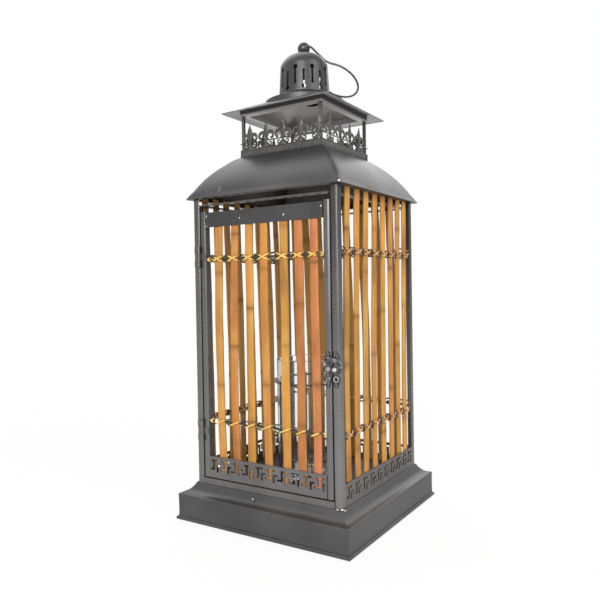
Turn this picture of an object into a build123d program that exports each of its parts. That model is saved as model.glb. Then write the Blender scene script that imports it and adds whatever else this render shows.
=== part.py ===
from build123d import *
import math
import os

# Square candle lantern with bamboo walls, a hinged door and a wire bail.
# Millimetres. +Z up, origin at the middle of the foot, door on the -Y side, hinges at -X.

# Base pan
base_step = 15.2
base_side_h = 28.0
shoulder_h = 10.2
shoulder_dish = 1.9
bead_r = 2.0
base_wall = 1.2
base_hem = 3.2
deck_margin = 1.0

# Corner posts and frame bars
post_half = 88.0
post_h = 303.2
angle_leg = 7.5
angle_wall = 1.2
sill_h = 6.3
sill_depth = 7.0
header_drop = 7.4
header_t = 1.5
header_depth = 6.5

# Bamboo slats: foot place, head place and sideways bow of each, as shares of its panel's half-width
slat_t = 2.6
slat_crown = 0.5
slat_gap = 0.2
slat_w = 9.6
slat_rise = 3.6
door_slats = (
    (-0.757, -0.766, -0.033), (-0.499, -0.469, -0.042), (-0.227, -0.214, -0.017),
    (0.055, 0.028, -0.014), (0.361, 0.350, 0.006), (0.619, 0.605, -0.011), (0.847, 0.838, 0.004),
)
wall_slats = (
    (-0.838, -0.750, -0.020), (-0.596, -0.527, -0.030), (-0.380, -0.286, -0.019),
    (-0.124, -0.037, -0.025), (0.149, 0.206, -0.017), (0.402, 0.452, -0.027),
    (0.619, 0.681, -0.020), (0.835, 0.899, -0.012),
)

# Raffia lashings: twined pairs on the door and the right wall, single strands on the others
strand_r = 0.75
strand_clear = 0.8
strand_sides = 3
strand_slope = 16.0
strand_stack = 1.3
wall_lash_low = 67.0
wall_lash_high = 242.0
door_lash_low = 60.0
door_lash_high = 231.0
back_lash_lift = 5.0

# Greek-key fret strips
wall_fret_h = 21.8
door_fret_h = 22.5
key_h = 12.2
key_stroke = 1.9
key_border = 3.2
wall_key_count = 10
door_key_count = 10

# Door
door_gap = 1.6
door_head_gap = 6.3
stile_leg = 6.8
stile_depth = 7.6
rail_h = 15.5
rail_drop = 1.2

# Hinges
knuckle_r = 1.9
hinge_pin_r = 0.95
pin_clear = 0.05
knuckle_h = 7.0
knuckle_gap = 0.35
leaf_t = 0.8
leaf_w = 5.2
hinge_low = 46.0
hinge_high = 253.0

# Latch
latch_z = 130.8
latch_plate_t = 0.8
latch_lobe_r = 4.2
latch_reach = 9.2
hook_t = 1.4
hook_gap = 0.3
hook_arm = 3.0
hook_bend_r = 6.4
hook_span = 12.6
pivot_r = 1.6
stud_r = 2.3
stud_h = 3.6

# Roof
roof_overhang = 5.8
roof_h = 46.8
roof_top_half = 51.8
roof_sagitta = 5.0
roof_wall = 1.0
roof_lip = 6.8

# Gallery
gallery_half = 51.3
gallery_h = 44.4
gallery_wall = 1.2
gallery_post = 3.0
band_h = 7.8
crest_h = 26.0
crest_pitch = 21.4
front_crest_shift = 4.0
side_crest_shift = -11.5
petal_r = 5.6
petal_w = 2.2
rail_lift = 7.4
crest_rail = 1.8
frame_flange = 6.0

# Canopy
canopy_half = 65.3
canopy_lift = 1.5
canopy_pitch = 22.3
canopy_t = 1.0
canopy_vent_r = 22.0

# Chimney
chimney_r = 28.0
chimney_neck_r = 26.4
chimney_h = 29.5
chimney_rise = 3.6
chimney_wall = 1.2
dome_h = 18.0
dome_bands = 4
dome_land_r = 9.0
skirt_r = 44.0
skirt_lift = 0.8
skirt_dish = 1.2
skirt_bands = 3
vent_count = 9
vent_phase = -59.5
vent_hole_r = 2.4
vent_slot_w = 2.0
vent_high_z = 25.5
vent_low_z = 4.0
vent_len = 16.8

# Finial and bail
ball_r = 6.9
ball_bands = 8
ball_lift = 5.6
collar_r = 8.2
collar_h = 1.6
bail_wire_r = 1.15
bail_turn = -22.4
bail_lean = 30.6
bail_clear = 1.0
bail_bend_r = 3.2
bail_flare_r = 14.0
bail_ring_r = 26.8
bail_ring_drop = 52.8
bail_split = 0.6

# Candle glass and its wire holder
glass_r = 36.0
glass_h = 129.5
glass_wall = 2.2
glass_base = 6.0
glass_foot_bevel = 2.6
holder_wire_r = 1.2
holder_gap = 0.6
holder_z = 104.0
holder_legs = 3
holder_turn = -112.0
holder_foot = 9.0
holder_bend_r = 3.0
holder_tail = 5.0

# Derived planes
base_half = post_half + base_step
roof_half = post_half + roof_overhang
deck_z = base_side_h + shoulder_h
roof_edge_z = deck_z + post_h
roof_top_z = roof_edge_z + roof_h
gallery_top_z = roof_top_z + gallery_h
canopy_edge_z = gallery_top_z + canopy_lift
canopy_tan = math.tan(math.radians(canopy_pitch))
canopy_rise = canopy_t / math.cos(math.radians(canopy_pitch))
wall_in = post_half - angle_wall
leg_edge = post_half - angle_leg
header_z = roof_edge_z - header_drop
slat_face = wall_in - slat_gap
slat_back = slat_face - slat_t
door_half = leg_edge - door_gap
door_in = door_half - stile_leg
door_z = deck_z + sill_h + door_gap
door_top = header_z - door_head_gap


def canopy_top(half):
    """Height of the canopy's upper face at a distance from the axis."""
    return canopy_edge_z + canopy_rise + (canopy_half - half) * canopy_tan


chimney_z = canopy_top(chimney_r / math.sqrt(2)) + chimney_rise
neck_z = chimney_z + chimney_h
dome_z = neck_z + dome_h
ball_z = dome_z + ball_lift


def at(x, z):
    return Vector(x, 0, z)


def bowed(start, end, rise):
    """Arc between two points of the XZ plane, rising to the right of its chord."""
    chord = end - start
    normal = Vector(chord.Z, 0, -chord.X).normalized()
    return ThreePointArc(start, (start + end) * 0.5 + normal * rise, end)


def mitred(edges):
    """Square-plan solid whose half-width follows a profile drawn from the Z axis outwards."""
    half = make_face(edges)
    reach = 2 * half.bounding_box().max.X
    run = extrude(half + mirror(half, Plane.YZ), reach, dir=(0, 1, 0), both=True)
    return run & Rot(0, 0, 90) * run


def upright(sketch, back, wall):
    """Front plate from a sketch of X and Z, its inner face at a distance from the axis."""
    return extrude(Plane.XZ.offset(back) * sketch, wall)


def span(x0, x1, y0, y1, z0, z1):
    """Box between six planes."""
    box = Box(x1 - x0, y1 - y0, z1 - z0, align=(Align.MIN, Align.MIN, Align.MIN))
    return Pos(x0, y0, z0) * box


def strip(x0, x1, z0, z1):
    """Rectangle of an upright sketch between four lines."""
    return Pos((x0 + x1) / 2, (z0 + z1) / 2) * Rectangle(x1 - x0, z1 - z0)


def base_pan():
    """Pan with a coved shoulder, a closed deck, a rolled bead and an inner hem at the foot."""
    shoulder = post_half + deck_margin
    foot = at(base_half, 2 * bead_r)
    lip = at(base_half, base_side_h)
    rim = at(shoulder, deck_z)
    outer = mitred([
        Line(at(0, 0), at(base_half, 0)),
        ThreePointArc(at(base_half, 0), at(base_half + bead_r, bead_r), foot),
        Line(foot, lip),
        bowed(lip, rim, -shoulder_dish),
        Line(rim, at(0, deck_z)),
        Line(at(0, deck_z), at(0, 0)),
    ])
    hem = base_half - base_hem
    side = base_half - base_wall
    lip_in = at(side, base_side_h - base_wall / 2)
    rim_in = at(shoulder - base_wall / 2, deck_z - base_wall)
    inner = mitred([
        Polyline(at(0, 0), at(hem, 0), at(hem, 2 * bead_r), at(side, 2 * bead_r), lip_in),
        bowed(lip_in, rim_in, -shoulder_dish),
        Polyline(rim_in, at(0, deck_z - base_wall), at(0, 0)),
    ])
    return outer - inner


def corner_post():
    """L-section post of the front left corner."""
    bar = span(-post_half, -leg_edge, -post_half, -leg_edge, deck_z, roof_edge_z)
    return bar - span(-wall_in, -leg_edge, -wall_in, -leg_edge, deck_z, roof_edge_z)


def sill():
    """Angle bar under the door."""
    top = deck_z + sill_h
    face = span(-leg_edge, leg_edge, -post_half, -wall_in, deck_z, top)
    return face + span(-leg_edge, leg_edge, -wall_in, -post_half + sill_depth, top - angle_wall, top)


def headers():
    """Flat bars under the roof: front, back, left and right, each wall's behind its slats."""
    outer = slat_back - slat_gap
    inner = outer - header_depth
    z1 = header_z + header_t
    front = span(-inner, inner, -wall_in, -wall_in + header_depth, header_z, z1)
    back = span(-inner, inner, inner, outer, header_z, z1)
    right = span(inner, outer, -outer, outer, header_z, z1)
    right += span(leg_edge, outer, -wall_in, wall_in, header_z, z1)
    return front, back, mirror(right, Plane.YZ), right


def key_slot(pitch):
    """Spiral slot of one Greek-key motif, from the middle of its long leg's foot."""
    run = key_h - key_stroke
    points = [
        (-0.32 * pitch, 0), (-0.32 * pitch, run), (0.30 * pitch, run),
        (0.30 * pitch, 0.26 * run), (-0.01 * pitch, 0.26 * run), (-0.01 * pitch, 0.58 * run),
    ]
    slot = Sketch()
    for (x0, z0), (x1, z1) in zip(points, points[1:]):
        slot += strip(min(x0, x1) - key_stroke / 2, max(x0, x1) + key_stroke / 2,
                      min(z0, z1) - key_stroke / 2, max(z0, z1) + key_stroke / 2)
    return slot


def fret(half, z0, height, count):
    """Front fret strip with a row of Greek-key slots under its upper border."""
    pitch = 2 * half / count
    plate = upright(strip(-half, half, z0, z0 + height), wall_in, angle_wall)
    slot = upright(key_slot(pitch), wall_in, angle_wall)
    foot = z0 + height - key_border - key_h + key_stroke / 2
    return plate - [Pos((i + 0.5) * pitch - half, 0, foot) * slot for i in range(count)]


def slat_place(slat, half, share):
    """Middle of a slat across a panel of a half-width, at a share of its height."""
    foot, head, bow = slat
    return half * (foot + (head - foot) * share + 4 * bow * share * (1 - share))


def slats(pattern, half, z0, z1):
    """Split-bamboo slats of a front panel: crowned outside, flat inside, each gently bowed."""
    edge = slat_w / 2
    brow = -slat_face + slat_crown
    section = make_face(Polyline(
        (-edge, brow), (-edge / 2, -slat_face), (edge / 2, -slat_face), (edge, brow),
        (edge, -slat_back), (-edge, -slat_back), (-edge, brow)))
    made = []
    for slat in pattern:
        levels = [Pos(slat_place(slat, half, t), 0, z0 + (z1 - z0) * t) * section for t in (0, 0.5, 1)]
        made.append(loft(levels))
    return made


def biarc(p0, t0, p1, t1):
    """Two tangent arcs from one point and direction to another."""
    v = p1 - p0
    both = v.dot(t0 + t1)
    turn = 2 * (1 - t0.dot(t1))
    if turn < 1e-9:
        d = v.dot(v) / (4 * v.dot(t1))
    else:
        d = (math.sqrt(both * both + turn * v.dot(v)) - both) / turn
    joint = (p0 + p1 + (t0 - t1) * d) * 0.5
    across = ((p1 - t1 * d) - (p0 + t0 * d)).normalized()
    return [TangentArc(p0, joint, tangent=t0), TangentArc(joint, p1, tangent=across)]


def strand(places, z, end, first_front, name):
    """One strand that winds in front of one slat and behind the next, from post to post."""
    mid = -(slat_face + slat_back) / 2
    swing = slat_t / 2 + 2 * strand_r + strand_clear
    side = -1 if first_front else 1
    slope = math.radians(strand_slope)
    along = Vector(1, 0, 0)
    stub = strand_r / 2
    start = Vector(-end, mid, z - side * strand_stack)
    stops = [(start + along * stub, along)]
    for x in places:
        heading = Vector(math.cos(slope), 0, -side * math.sin(slope))
        stops.append((Vector(x, mid + side * swing, z), heading))
        side = -side
    finish = Vector(end, mid, z + side * strand_stack)
    stops.append((finish - along * stub, along))
    edges = [Line(start, stops[0][0])]
    for (p0, t0), (p1, t1) in zip(stops, stops[1:]):
        edges += biarc(p0, t0, p1, t1)
    edges.append(Line(stops[-1][0], finish))
    path = Wire(edges)
    points = [path @ (i / 240) for i in range(241)]
    step = path.length / 240
    far = math.ceil(6 * strand_r / step)
    least = min((points[i] - points[j]).length for i in range(241) for j in range(i + far, 241))
    print(name, "strand gap to itself", round(least - 2 * strand_r, 2), "length", round(path.length, 1))
    section = Plane(start, x_dir=(0, 1, 0), z_dir=along) * RegularPolygon(strand_r, strand_sides)
    return sweep(section, path, clean=False)


def lashing(pattern, half, z0, z1, z, end, name, strands):
    """One strand or a twined pair round the slats of a front panel."""
    places = [slat_place(slat, half, (z - z0) / (z1 - z0)) for slat in pattern]
    return [strand(places, z, end, first, name) for first in (True, False)[:strands]]


def door_stile():
    """Angle stile at the left of the door, one leg in the front plane and one at its inner edge."""
    face = span(-door_half, -door_in, -post_half, -wall_in, door_z, door_top)
    lip = span(-door_in - angle_wall, -door_in, -wall_in, -post_half + stile_depth, door_z, door_top)
    return face + lip


hinge_x = -(leg_edge + door_half) / 2
hinge_y = -post_half - knuckle_r
hinge_bore_r = hinge_pin_r + pin_clear


def knuckle(side, z0, z1):
    """Hinge barrel with its leaf on the front plane, towards -X or +X."""
    height = z1 - z0
    barrel = Pos(hinge_x, hinge_y, z0) * extrude(Circle(knuckle_r), height)
    near = hinge_x
    far = hinge_x + side * (knuckle_r + leaf_w)
    leaf = span(min(near, far), max(near, far), -post_half - leaf_t, -post_half, z0, z1)
    bore = Pos(hinge_x, hinge_y, z0) * extrude(Circle(hinge_bore_r), height)
    return barrel + leaf - bore


def hinges():
    """Knuckles on the post, knuckles on the door, and headed pins of both hinges."""
    on_post = []
    on_door = []
    pins = []
    step = knuckle_h + knuckle_gap
    for foot in (deck_z + hinge_low, deck_z + hinge_high - 3 * step):
        for i, group, side in ((0, on_post, -1), (1, on_door, 1), (2, on_post, -1)):
            group.append(knuckle(side, foot + i * step, foot + i * step + knuckle_h))
        top = foot + 2 * step + knuckle_h
        pin = extrude(Circle(hinge_pin_r), top - foot) + Pos(0, 0, top - foot) * Cylinder(
            knuckle_r, leaf_t, align=(Align.CENTER, Align.CENTER, Align.MIN))
        pins.append(Pos(hinge_x, hinge_y, foot) * pin)
    return on_post, on_door, pins


pivot_x = door_half - stile_leg / 2
pivot_z = deck_z + latch_z + latch_reach
stud_x = leg_edge + angle_leg / 2
stud_z = deck_z + latch_z
plate_face = post_half + latch_plate_t


def lobed_plate(x, tilt):
    """Lobed latch plate: three lobes on a spine with a pointed leaf at each end."""
    leaf_w_half = 0.6 * latch_lobe_r
    tip = latch_reach + 2.2 * latch_lobe_r
    outline = strip(-leaf_w_half, leaf_w_half, -latch_reach, latch_reach)
    for z, shift, r in ((latch_reach, 0, 1.0), (0, -tilt, 0.9), (-latch_reach, 0, 0.95)):
        outline += Pos(shift, z) * RegularPolygon(r * latch_lobe_r, 8, rotation=22.5)
    for end in (1, -1):
        root = end * latch_reach
        wide = (root + end * tip) / 2
        outline += make_face(Polyline(
            (0, root), (leaf_w_half, wide), (0, end * tip), (-leaf_w_half, wide), (0, root)))
    return upright(Pos(x, stud_z) * outline, post_half, latch_plate_t)


def cross_pin(x, z, radius, front):
    """Round bar along Y through the front plane, from behind the wall to a distance in front."""
    return Pos(x, -wall_in, z) * extrude(Plane.XZ * Circle(radius), front - wall_in)


def bevelled(x, front, z, radius):
    """Bevelled round end on the front plane of a pin along Y."""
    cap = Cone(radius, 0.6 * radius, 0.5 * radius, align=(Align.CENTER, Align.CENTER, Align.MIN))
    return Pos(x, -front, z) * Rot(90, 0, 0) * cap


def latch_hook():
    """Flat hook with an eye on the pivot, an arm over the stud and a turned-down end."""
    arc_x = pivot_x + hook_span
    arc_z = pivot_z - hook_bend_r
    eye = Pos(pivot_x, pivot_z) * Circle(latch_lobe_r)
    arm = strip(pivot_x, arc_x, pivot_z - hook_arm / 2, pivot_z + hook_arm / 2)
    ring = Circle(hook_bend_r + hook_arm / 2) - Circle(hook_bend_r - hook_arm / 2)
    reach = 2 * hook_bend_r
    keep = strip(0, reach, 0, reach)
    keep += make_face(Polyline((0, 0), (reach, 0), (reach, -reach / 2), (0, 0)))
    end = math.radians(-26.5)
    tip = Pos(hook_bend_r * math.cos(end), hook_bend_r * math.sin(end)) * Circle(0.62 * hook_arm)
    outline = eye + arm + Pos(arc_x, arc_z) * ((ring & keep) + tip)
    bore = Pos(pivot_x, pivot_z) * Circle(pivot_r + pin_clear)
    return upright(outline - bore, plate_face + hook_gap, hook_t)


def latch_pivot():
    """Headed pin that carries the hook on the door plate."""
    head_at = plate_face + 2 * hook_gap + hook_t
    head = Pos(pivot_x, -head_at, pivot_z) * extrude(Plane.XZ * Circle(1.7 * pivot_r), leaf_t)
    return cross_pin(pivot_x, pivot_z, pivot_r, head_at) + head


def catch_stud():
    """Plain stud with a bevelled end under the hook's arm."""
    front = plate_face + stud_h
    return cross_pin(stud_x, stud_z, stud_r, front) + bevelled(stud_x, front, stud_z, stud_r)


def roof_shell():
    """Four convex faces mitred at the hips, with a hem under the eaves and a lip round the top."""
    eave = at(roof_half, roof_edge_z)
    top = at(roof_top_half, roof_top_z)
    outer = mitred([
        Line(at(0, roof_edge_z), eave),
        bowed(eave, top, roof_sagitta),
        Polyline(top, at(0, roof_top_z), at(0, roof_edge_z)),
    ])
    eave_in = at(roof_half - 1.5 * roof_wall, roof_edge_z + roof_wall)
    top_in = at(roof_top_half - roof_wall, roof_top_z - roof_wall)
    inner = mitred([
        Line(at(0, roof_edge_z + roof_wall), eave_in),
        bowed(eave_in, top_in, roof_sagitta),
        Polyline(top_in, at(0, roof_top_z - roof_wall), at(0, roof_edge_z + roof_wall)),
    ])
    throat = roof_top_half - roof_lip
    mouth = span(-wall_in, wall_in, -wall_in, wall_in, roof_edge_z, roof_edge_z + roof_wall)
    return outer - inner - mouth - span(
        -throat, throat, -throat, throat, roof_top_z - roof_wall, roof_top_z)


def fleur():
    """Fleur-de-lis: spear, two drooping petals, a stem and two buds at its foot."""
    root = rail_lift
    wide = 0.42 * petal_r
    belly = (root + crest_h) / 2
    spear = make_face(Polyline(
        (0, root - crest_rail), (wide, belly), (0, crest_h), (-wide, belly), (0, root - crest_rail)))
    ring = RegularPolygon(petal_r, 6) - RegularPolygon(petal_r - petal_w, 6)
    arch = ring & strip(-petal_r, petal_r, -0.35 * petal_r, petal_r)
    arch_z = root + 0.95 * petal_r
    reach = petal_r - petal_w / 4
    tuft = 0.45 * petal_r
    bud = make_face(Polyline((-tuft, 0), (tuft, 0), (0, tuft), (-tuft, 0)))
    shape = spear + strip(-crest_rail / 2, crest_rail / 2, 0, root)
    for side in (-1, 1):
        shape += Pos(side * reach, arch_z) * arch
        shape += strip(side * reach - crest_rail / 2, side * reach + crest_rail / 2, root, arch_z)
        shape += Pos(side * reach, 0) * bud
    return shape


def cresting(length_half, shift):
    """Gallery strip: a band, a thin rail above it and a row of fleurs-de-lis cut to its length."""
    foot = roof_top_z + band_h
    whole = strip(-length_half, length_half, roof_top_z, foot)
    rail = foot + rail_lift
    whole += strip(-length_half, length_half, rail - crest_rail, rail)
    count = math.ceil(length_half / crest_pitch) + 1
    row = [Pos(shift + i * crest_pitch, foot) * fleur() for i in range(-count, count + 1)]
    window = strip(-length_half, length_half, roof_top_z, foot + crest_h)
    for motif in row:
        kept = motif & window
        if kept and kept.area > 0.01:
            whole += kept
    joined = whole.faces().sort_by(SortBy.AREA)[-1]
    return upright(joined, gallery_half - gallery_wall, gallery_wall)


def gallery_posts():
    """Four thin square posts inside the corners of the cresting."""
    outer = gallery_half - gallery_wall
    inner = outer - gallery_post
    post = span(inner, outer, inner, outer, roof_top_z, gallery_top_z)
    return [Rot(0, 0, 90 * i) * post for i in range(4)]


def canopy_solid(drop):
    """Solid pyramid under the canopy's upper face, lowered by a drop."""
    edge = canopy_edge_z + canopy_rise - drop
    apex = edge + canopy_half * canopy_tan
    floor = roof_top_z
    return mitred([Polyline(
        at(0, floor), at(canopy_half, floor), at(canopy_half, edge), at(0, apex), at(0, floor))])


def gallery_frame():
    """Angle frame that carries the canopy, its upper edge cut to the canopy's slope."""
    inner = gallery_half - gallery_wall
    flange = inner - frame_flange
    height = canopy_half * canopy_tan
    z0 = gallery_top_z
    wall = span(-gallery_half, gallery_half, -gallery_half, gallery_half, z0, z0 + height)
    wall -= span(-inner, inner, -inner, inner, z0, z0 + height)
    ledge = span(-inner, inner, -inner, inner, z0, z0 + gallery_wall)
    ledge -= span(-flange, flange, -flange, flange, z0, z0 + gallery_wall)
    return (wall & canopy_solid(canopy_rise)) + ledge


def canopy():
    """Thin pyramid with a round vent under the chimney."""
    above = span(-canopy_half, canopy_half, -canopy_half, canopy_half, canopy_edge_z, ball_z)
    shell = (canopy_solid(0) & above) - canopy_solid(canopy_rise)
    return shell - Pos(0, 0, canopy_edge_z) * extrude(Circle(canopy_vent_r), ball_z - canopy_edge_z)


def keyhole(z, up):
    """Radial keyhole cutter: a hole at one end of a slot."""
    end = z + up * vent_len
    shape = Pos(0, z) * RegularPolygon(vent_hole_r, 4)
    shape += strip(-vent_slot_w / 2, vent_slot_w / 2, min(z, end), max(z, end))
    return extrude(Plane.YZ * shape, 2 * chimney_r)


def turned(points):
    """Solid of revolution of a closed outline drawn in the XZ plane."""
    return revolve(make_face(Polyline(*points, points[0])), Axis.Z)


thin = at(chimney_wall, 0)
under = at(0, chimney_wall)
chimney_foot = at(chimney_r, chimney_z)
chimney_neck = at(chimney_neck_r, neck_z)


def skirt_line(rim, foot):
    """Points of a concave flare in conical bands, from its rim to its foot."""
    flare = bowed(rim, foot, -skirt_dish)
    return [rim, *(flare @ (i / skirt_bands) for i in range(1, skirt_bands)), foot]


def chimney_skirt():
    """Flared foot of the chimney, its lower edge fitted to the canopy."""
    rim = at(skirt_r, canopy_top(skirt_r / math.sqrt(2)) + skirt_lift)
    rim_in = rim - thin - under
    outer = [at(skirt_r, canopy_edge_z), *skirt_line(rim, chimney_foot)]
    inner = [at(rim_in.X, canopy_edge_z), *skirt_line(rim_in, chimney_foot - thin)]
    return turned(outer + inner[::-1]) - canopy_solid(0)


def chimney():
    """Tapered chimney wall with keyhole vents, low and high in turn."""
    wall = turned([chimney_foot, chimney_neck, chimney_neck - thin, chimney_foot - thin])
    cuts = []
    for i in range(vent_count):
        turn = vent_phase + 360 * i / vent_count
        cuts.append(Rot(0, 0, turn) * keyhole(chimney_z + vent_low_z, 1))
        cuts.append(Rot(0, 0, turn + 180 / vent_count) * keyhole(chimney_z + vent_high_z, -1))
    return wall - cuts


def chimney_dome():
    """Domed crown of the chimney in conical bands, with a flat land for the finial."""
    land = math.acos(dome_land_r / chimney_neck_r)
    turns = [land * i / dome_bands for i in range(dome_bands + 1)]
    dome = [at(chimney_neck_r * math.cos(a), neck_z + dome_h * math.sin(a)) for a in turns]
    top = at(0, dome[-1].Z)
    return turned([*dome, top, top - under, dome[-1] - under, chimney_neck - thin])


crown_z = neck_z + dome_h * math.sqrt(1 - (dome_land_r / chimney_neck_r) ** 2)
bail_plane = Plane(
    (0, 0, ball_z),
    x_dir=(math.cos(math.radians(bail_turn)), math.sin(math.radians(bail_turn)), 0),
    z_dir=Vector(0, 0, 1).rotate(Axis.X, -bail_lean).rotate(Axis.Z, bail_turn),
)


def finial():
    """Ball on a collar, with a cross hole for the bail."""
    low = -math.acos(0.7)
    turns = [low + (math.pi / 2 - low) * i / ball_bands for i in range(ball_bands)]
    ball = [at(ball_r * math.cos(a), ball_z + ball_r * math.sin(a)) for a in turns]
    body = turned([
        at(0, crown_z), at(collar_r, crown_z), at(collar_r, crown_z + collar_h / 2),
        at(ball[0].X, crown_z + collar_h), *ball, at(0, ball_z + ball_r)])
    hole = bail_plane * Rot(0, 90, 0) * Cylinder(bail_wire_r + pin_clear, 4 * ball_r)
    return body - hole


def bail():
    """Wire bail: two ends in the finial's hole, a narrow neck and a round grip."""
    out = ball_r + bail_clear
    leg = out + bail_bend_r
    low = bail_ring_drop - math.sqrt((bail_ring_r + bail_flare_r) ** 2 - (leg + bail_flare_r) ** 2)
    toward = Vector(leg + bail_flare_r, low - bail_ring_drop).normalized()
    meet = Vector(0, bail_ring_drop) + toward * bail_ring_r
    mid = Vector(leg + bail_flare_r, low) + (Vector(-1, 0) - toward).normalized() * bail_flare_r
    bend = Vector(out, bail_bend_r) + Vector(1, -1).normalized() * bail_bend_r
    right = [
        Line((bail_split, 0), (out, 0)),
        ThreePointArc((out, 0), bend, (leg, bail_bend_r)),
        Line((leg, bail_bend_r), (leg, low)),
        ThreePointArc((leg, low), mid, meet),
    ]
    grip = ThreePointArc(meet, (0, bail_ring_drop + bail_ring_r), (-meet.X, meet.Y))
    left = [
        ThreePointArc((-meet.X, meet.Y), (-mid.X, mid.Y), (-leg, low)),
        Line((-leg, low), (-leg, bail_bend_r)),
        ThreePointArc((-leg, bail_bend_r), (-bend.X, bend.Y), (-out, 0)),
        Line((-out, 0), (-bail_split, 0)),
    ]
    path = Wire([*right, grip, *left])
    wire = Plane((bail_split, 0, 0), x_dir=(0, 1, 0), z_dir=(1, 0, 0)) * RegularPolygon(bail_wire_r, 6)
    return bail_plane * sweep(wire, path)


def candle_glass():
    """Straight clear cup with a thick bevelled foot, standing on the deck."""
    top = deck_z + glass_h
    inner = glass_r - glass_wall
    face = make_face(Polyline(
        at(0, deck_z), at(glass_r, deck_z), at(glass_r, top), at(inner, top),
        at(inner, deck_z + glass_base), at(0, deck_z + glass_base), at(0, deck_z)))
    cup = revolve(face, Axis.Z)
    return chamfer(cup.edges().group_by(Axis.Z)[0], min(glass_foot_bevel, 0.6 * glass_base))


def glass_holder():
    """Wire ring round the glass on legs whose feet turn out along the deck."""
    ring_r = glass_r + holder_gap + holder_wire_r
    ring_z = deck_z + holder_z
    foot_z = deck_z + holder_wire_r
    wire = RegularPolygon(holder_wire_r, 4)
    made = revolve(Plane.XZ * Pos(ring_r, ring_z) * wire, Axis.Z)
    leg_r = ring_r + holder_wire_r
    head = at(leg_r, ring_z + 2 * holder_wire_r)
    path = FilletPolyline(head, at(leg_r, foot_z), at(leg_r + holder_foot, foot_z), radius=holder_bend_r)
    leg = sweep(Pos(*head) * wire, path)
    for i in range(holder_legs):
        made += Rot(0, 0, holder_turn + 360 * i / holder_legs) * leg
    tail = Pos(ring_r, 0, ring_z) * Rot(0, 90, 0) * extrude(wire, holder_tail)
    return made + Rot(0, 0, holder_turn - 60) * tail


def build():
    """Every piece of the lantern by its name."""
    wall_head = roof_edge_z + slat_rise
    slat_foot = door_z + angle_wall
    rail_top = door_top - rail_drop
    slat_head = rail_top - rail_drop
    post = corner_post()
    front, back, left, right = headers()
    on_post, on_door, pins = hinges()
    pivot_hole = cross_pin(pivot_x, pivot_z, pivot_r + pin_clear, plate_face)
    stud_hole = cross_pin(stud_x, stud_z, stud_r + pin_clear, plate_face)
    fret_wall = fret(leg_edge, deck_z, wall_fret_h, wall_key_count)
    wall_set = slats(wall_slats, leg_edge, deck_z, wall_head)
    crest_front = cresting(gallery_half, front_crest_shift)
    crest_side = cresting(gallery_half - gallery_wall, side_crest_shift)
    pieces = {
        "base_pan": base_pan(),
        "post_front_left": post,
        "post_front_right": mirror(post, Plane.YZ) - stud_hole,
        "post_back_left": mirror(post, Plane.XZ),
        "post_back_right": Rot(0, 0, 180) * post,
        "front_sill": sill(),
        "header_front": front,
        "header_back": back,
        "header_left": left,
        "header_right": right,
        "roof_shell": roof_shell(),
        "gallery_posts": gallery_posts(),
        "gallery_top_frame": gallery_frame(),
        "canopy": canopy(),
        "chimney_skirt": chimney_skirt(),
        "chimney": chimney(),
        "chimney_dome": chimney_dome(),
        "finial": finial(),
        "bail_handle": bail(),
        "candle_glass": candle_glass(),
        "glass_holder": glass_holder(),
        "door_stile_hinge": door_stile(),
        "door_stile_latch": mirror(door_stile(), Plane.YZ) - pivot_hole,
        "door_top_rail": upright(
            strip(-door_in, door_in, rail_top - rail_h, rail_top), wall_in, angle_wall),
        "door_fret": fret(door_in, door_z, door_fret_h, door_key_count),
        "door_slats": slats(door_slats, door_in, slat_foot, slat_head),
        "hinge_post_knuckles": on_post,
        "hinge_door_knuckles": on_door,
        "hinge_pins": pins,
        "latch_plate": lobed_plate(pivot_x, latch_lobe_r / 3) - pivot_hole,
        "latch_hook": latch_hook(),
        "latch_pivot": latch_pivot(),
        "catch_plate": lobed_plate(stud_x, 0) - stud_hole,
        "catch_stud": catch_stud(),
        "cresting_front": crest_front,
        "cresting_back": Rot(0, 0, 180) * crest_front,
        "cresting_right": Rot(0, 0, 90) * crest_side,
        "cresting_left": Rot(0, 0, 270) * crest_side,
    }
    pieces["door_lashings"] = []
    for level in (door_lash_high, door_lash_low):
        pieces["door_lashings"] += lashing(
            door_slats, door_in, slat_foot, slat_head, door_z + level, door_in, "door", 2)
    for side, turn, lift, count in (
        ("right", 90, 0, 2), ("back", 180, back_lash_lift, 1), ("left", 270, 0, 1),
    ):
        ties = []
        for level in (wall_lash_high, wall_lash_low):
            ties += lashing(
                wall_slats, leg_edge, deck_z, wall_head, deck_z + level + lift, wall_in, side, count)
        pieces[f"{side}_lashings"] = [Rot(0, 0, turn) * tie for tie in ties]
        pieces[f"{side}_fret"] = Rot(0, 0, turn) * fret_wall
        pieces[f"{side}_slats"] = [Rot(0, 0, turn) * slat for slat in wall_set]
    return pieces


def main():
    os.makedirs("parts", exist_ok=True)
    for name, piece in build().items():
        solids = piece if isinstance(piece, list) else piece.solids()
        shape = Compound(children=[*solids]) if len(solids) > 1 else solids[0]
        shape.label = name
        export_step(shape, f"parts/{name}.step")


main()
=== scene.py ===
"""Dressed scene of a square candle lantern with bamboo walls, a hinged door and a wire bail."""
import logging
import math
from dataclasses import dataclass, field
from enum import Enum

import bmesh
import bpy
import numpy as np
from mathutils import Matrix, Vector


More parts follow.
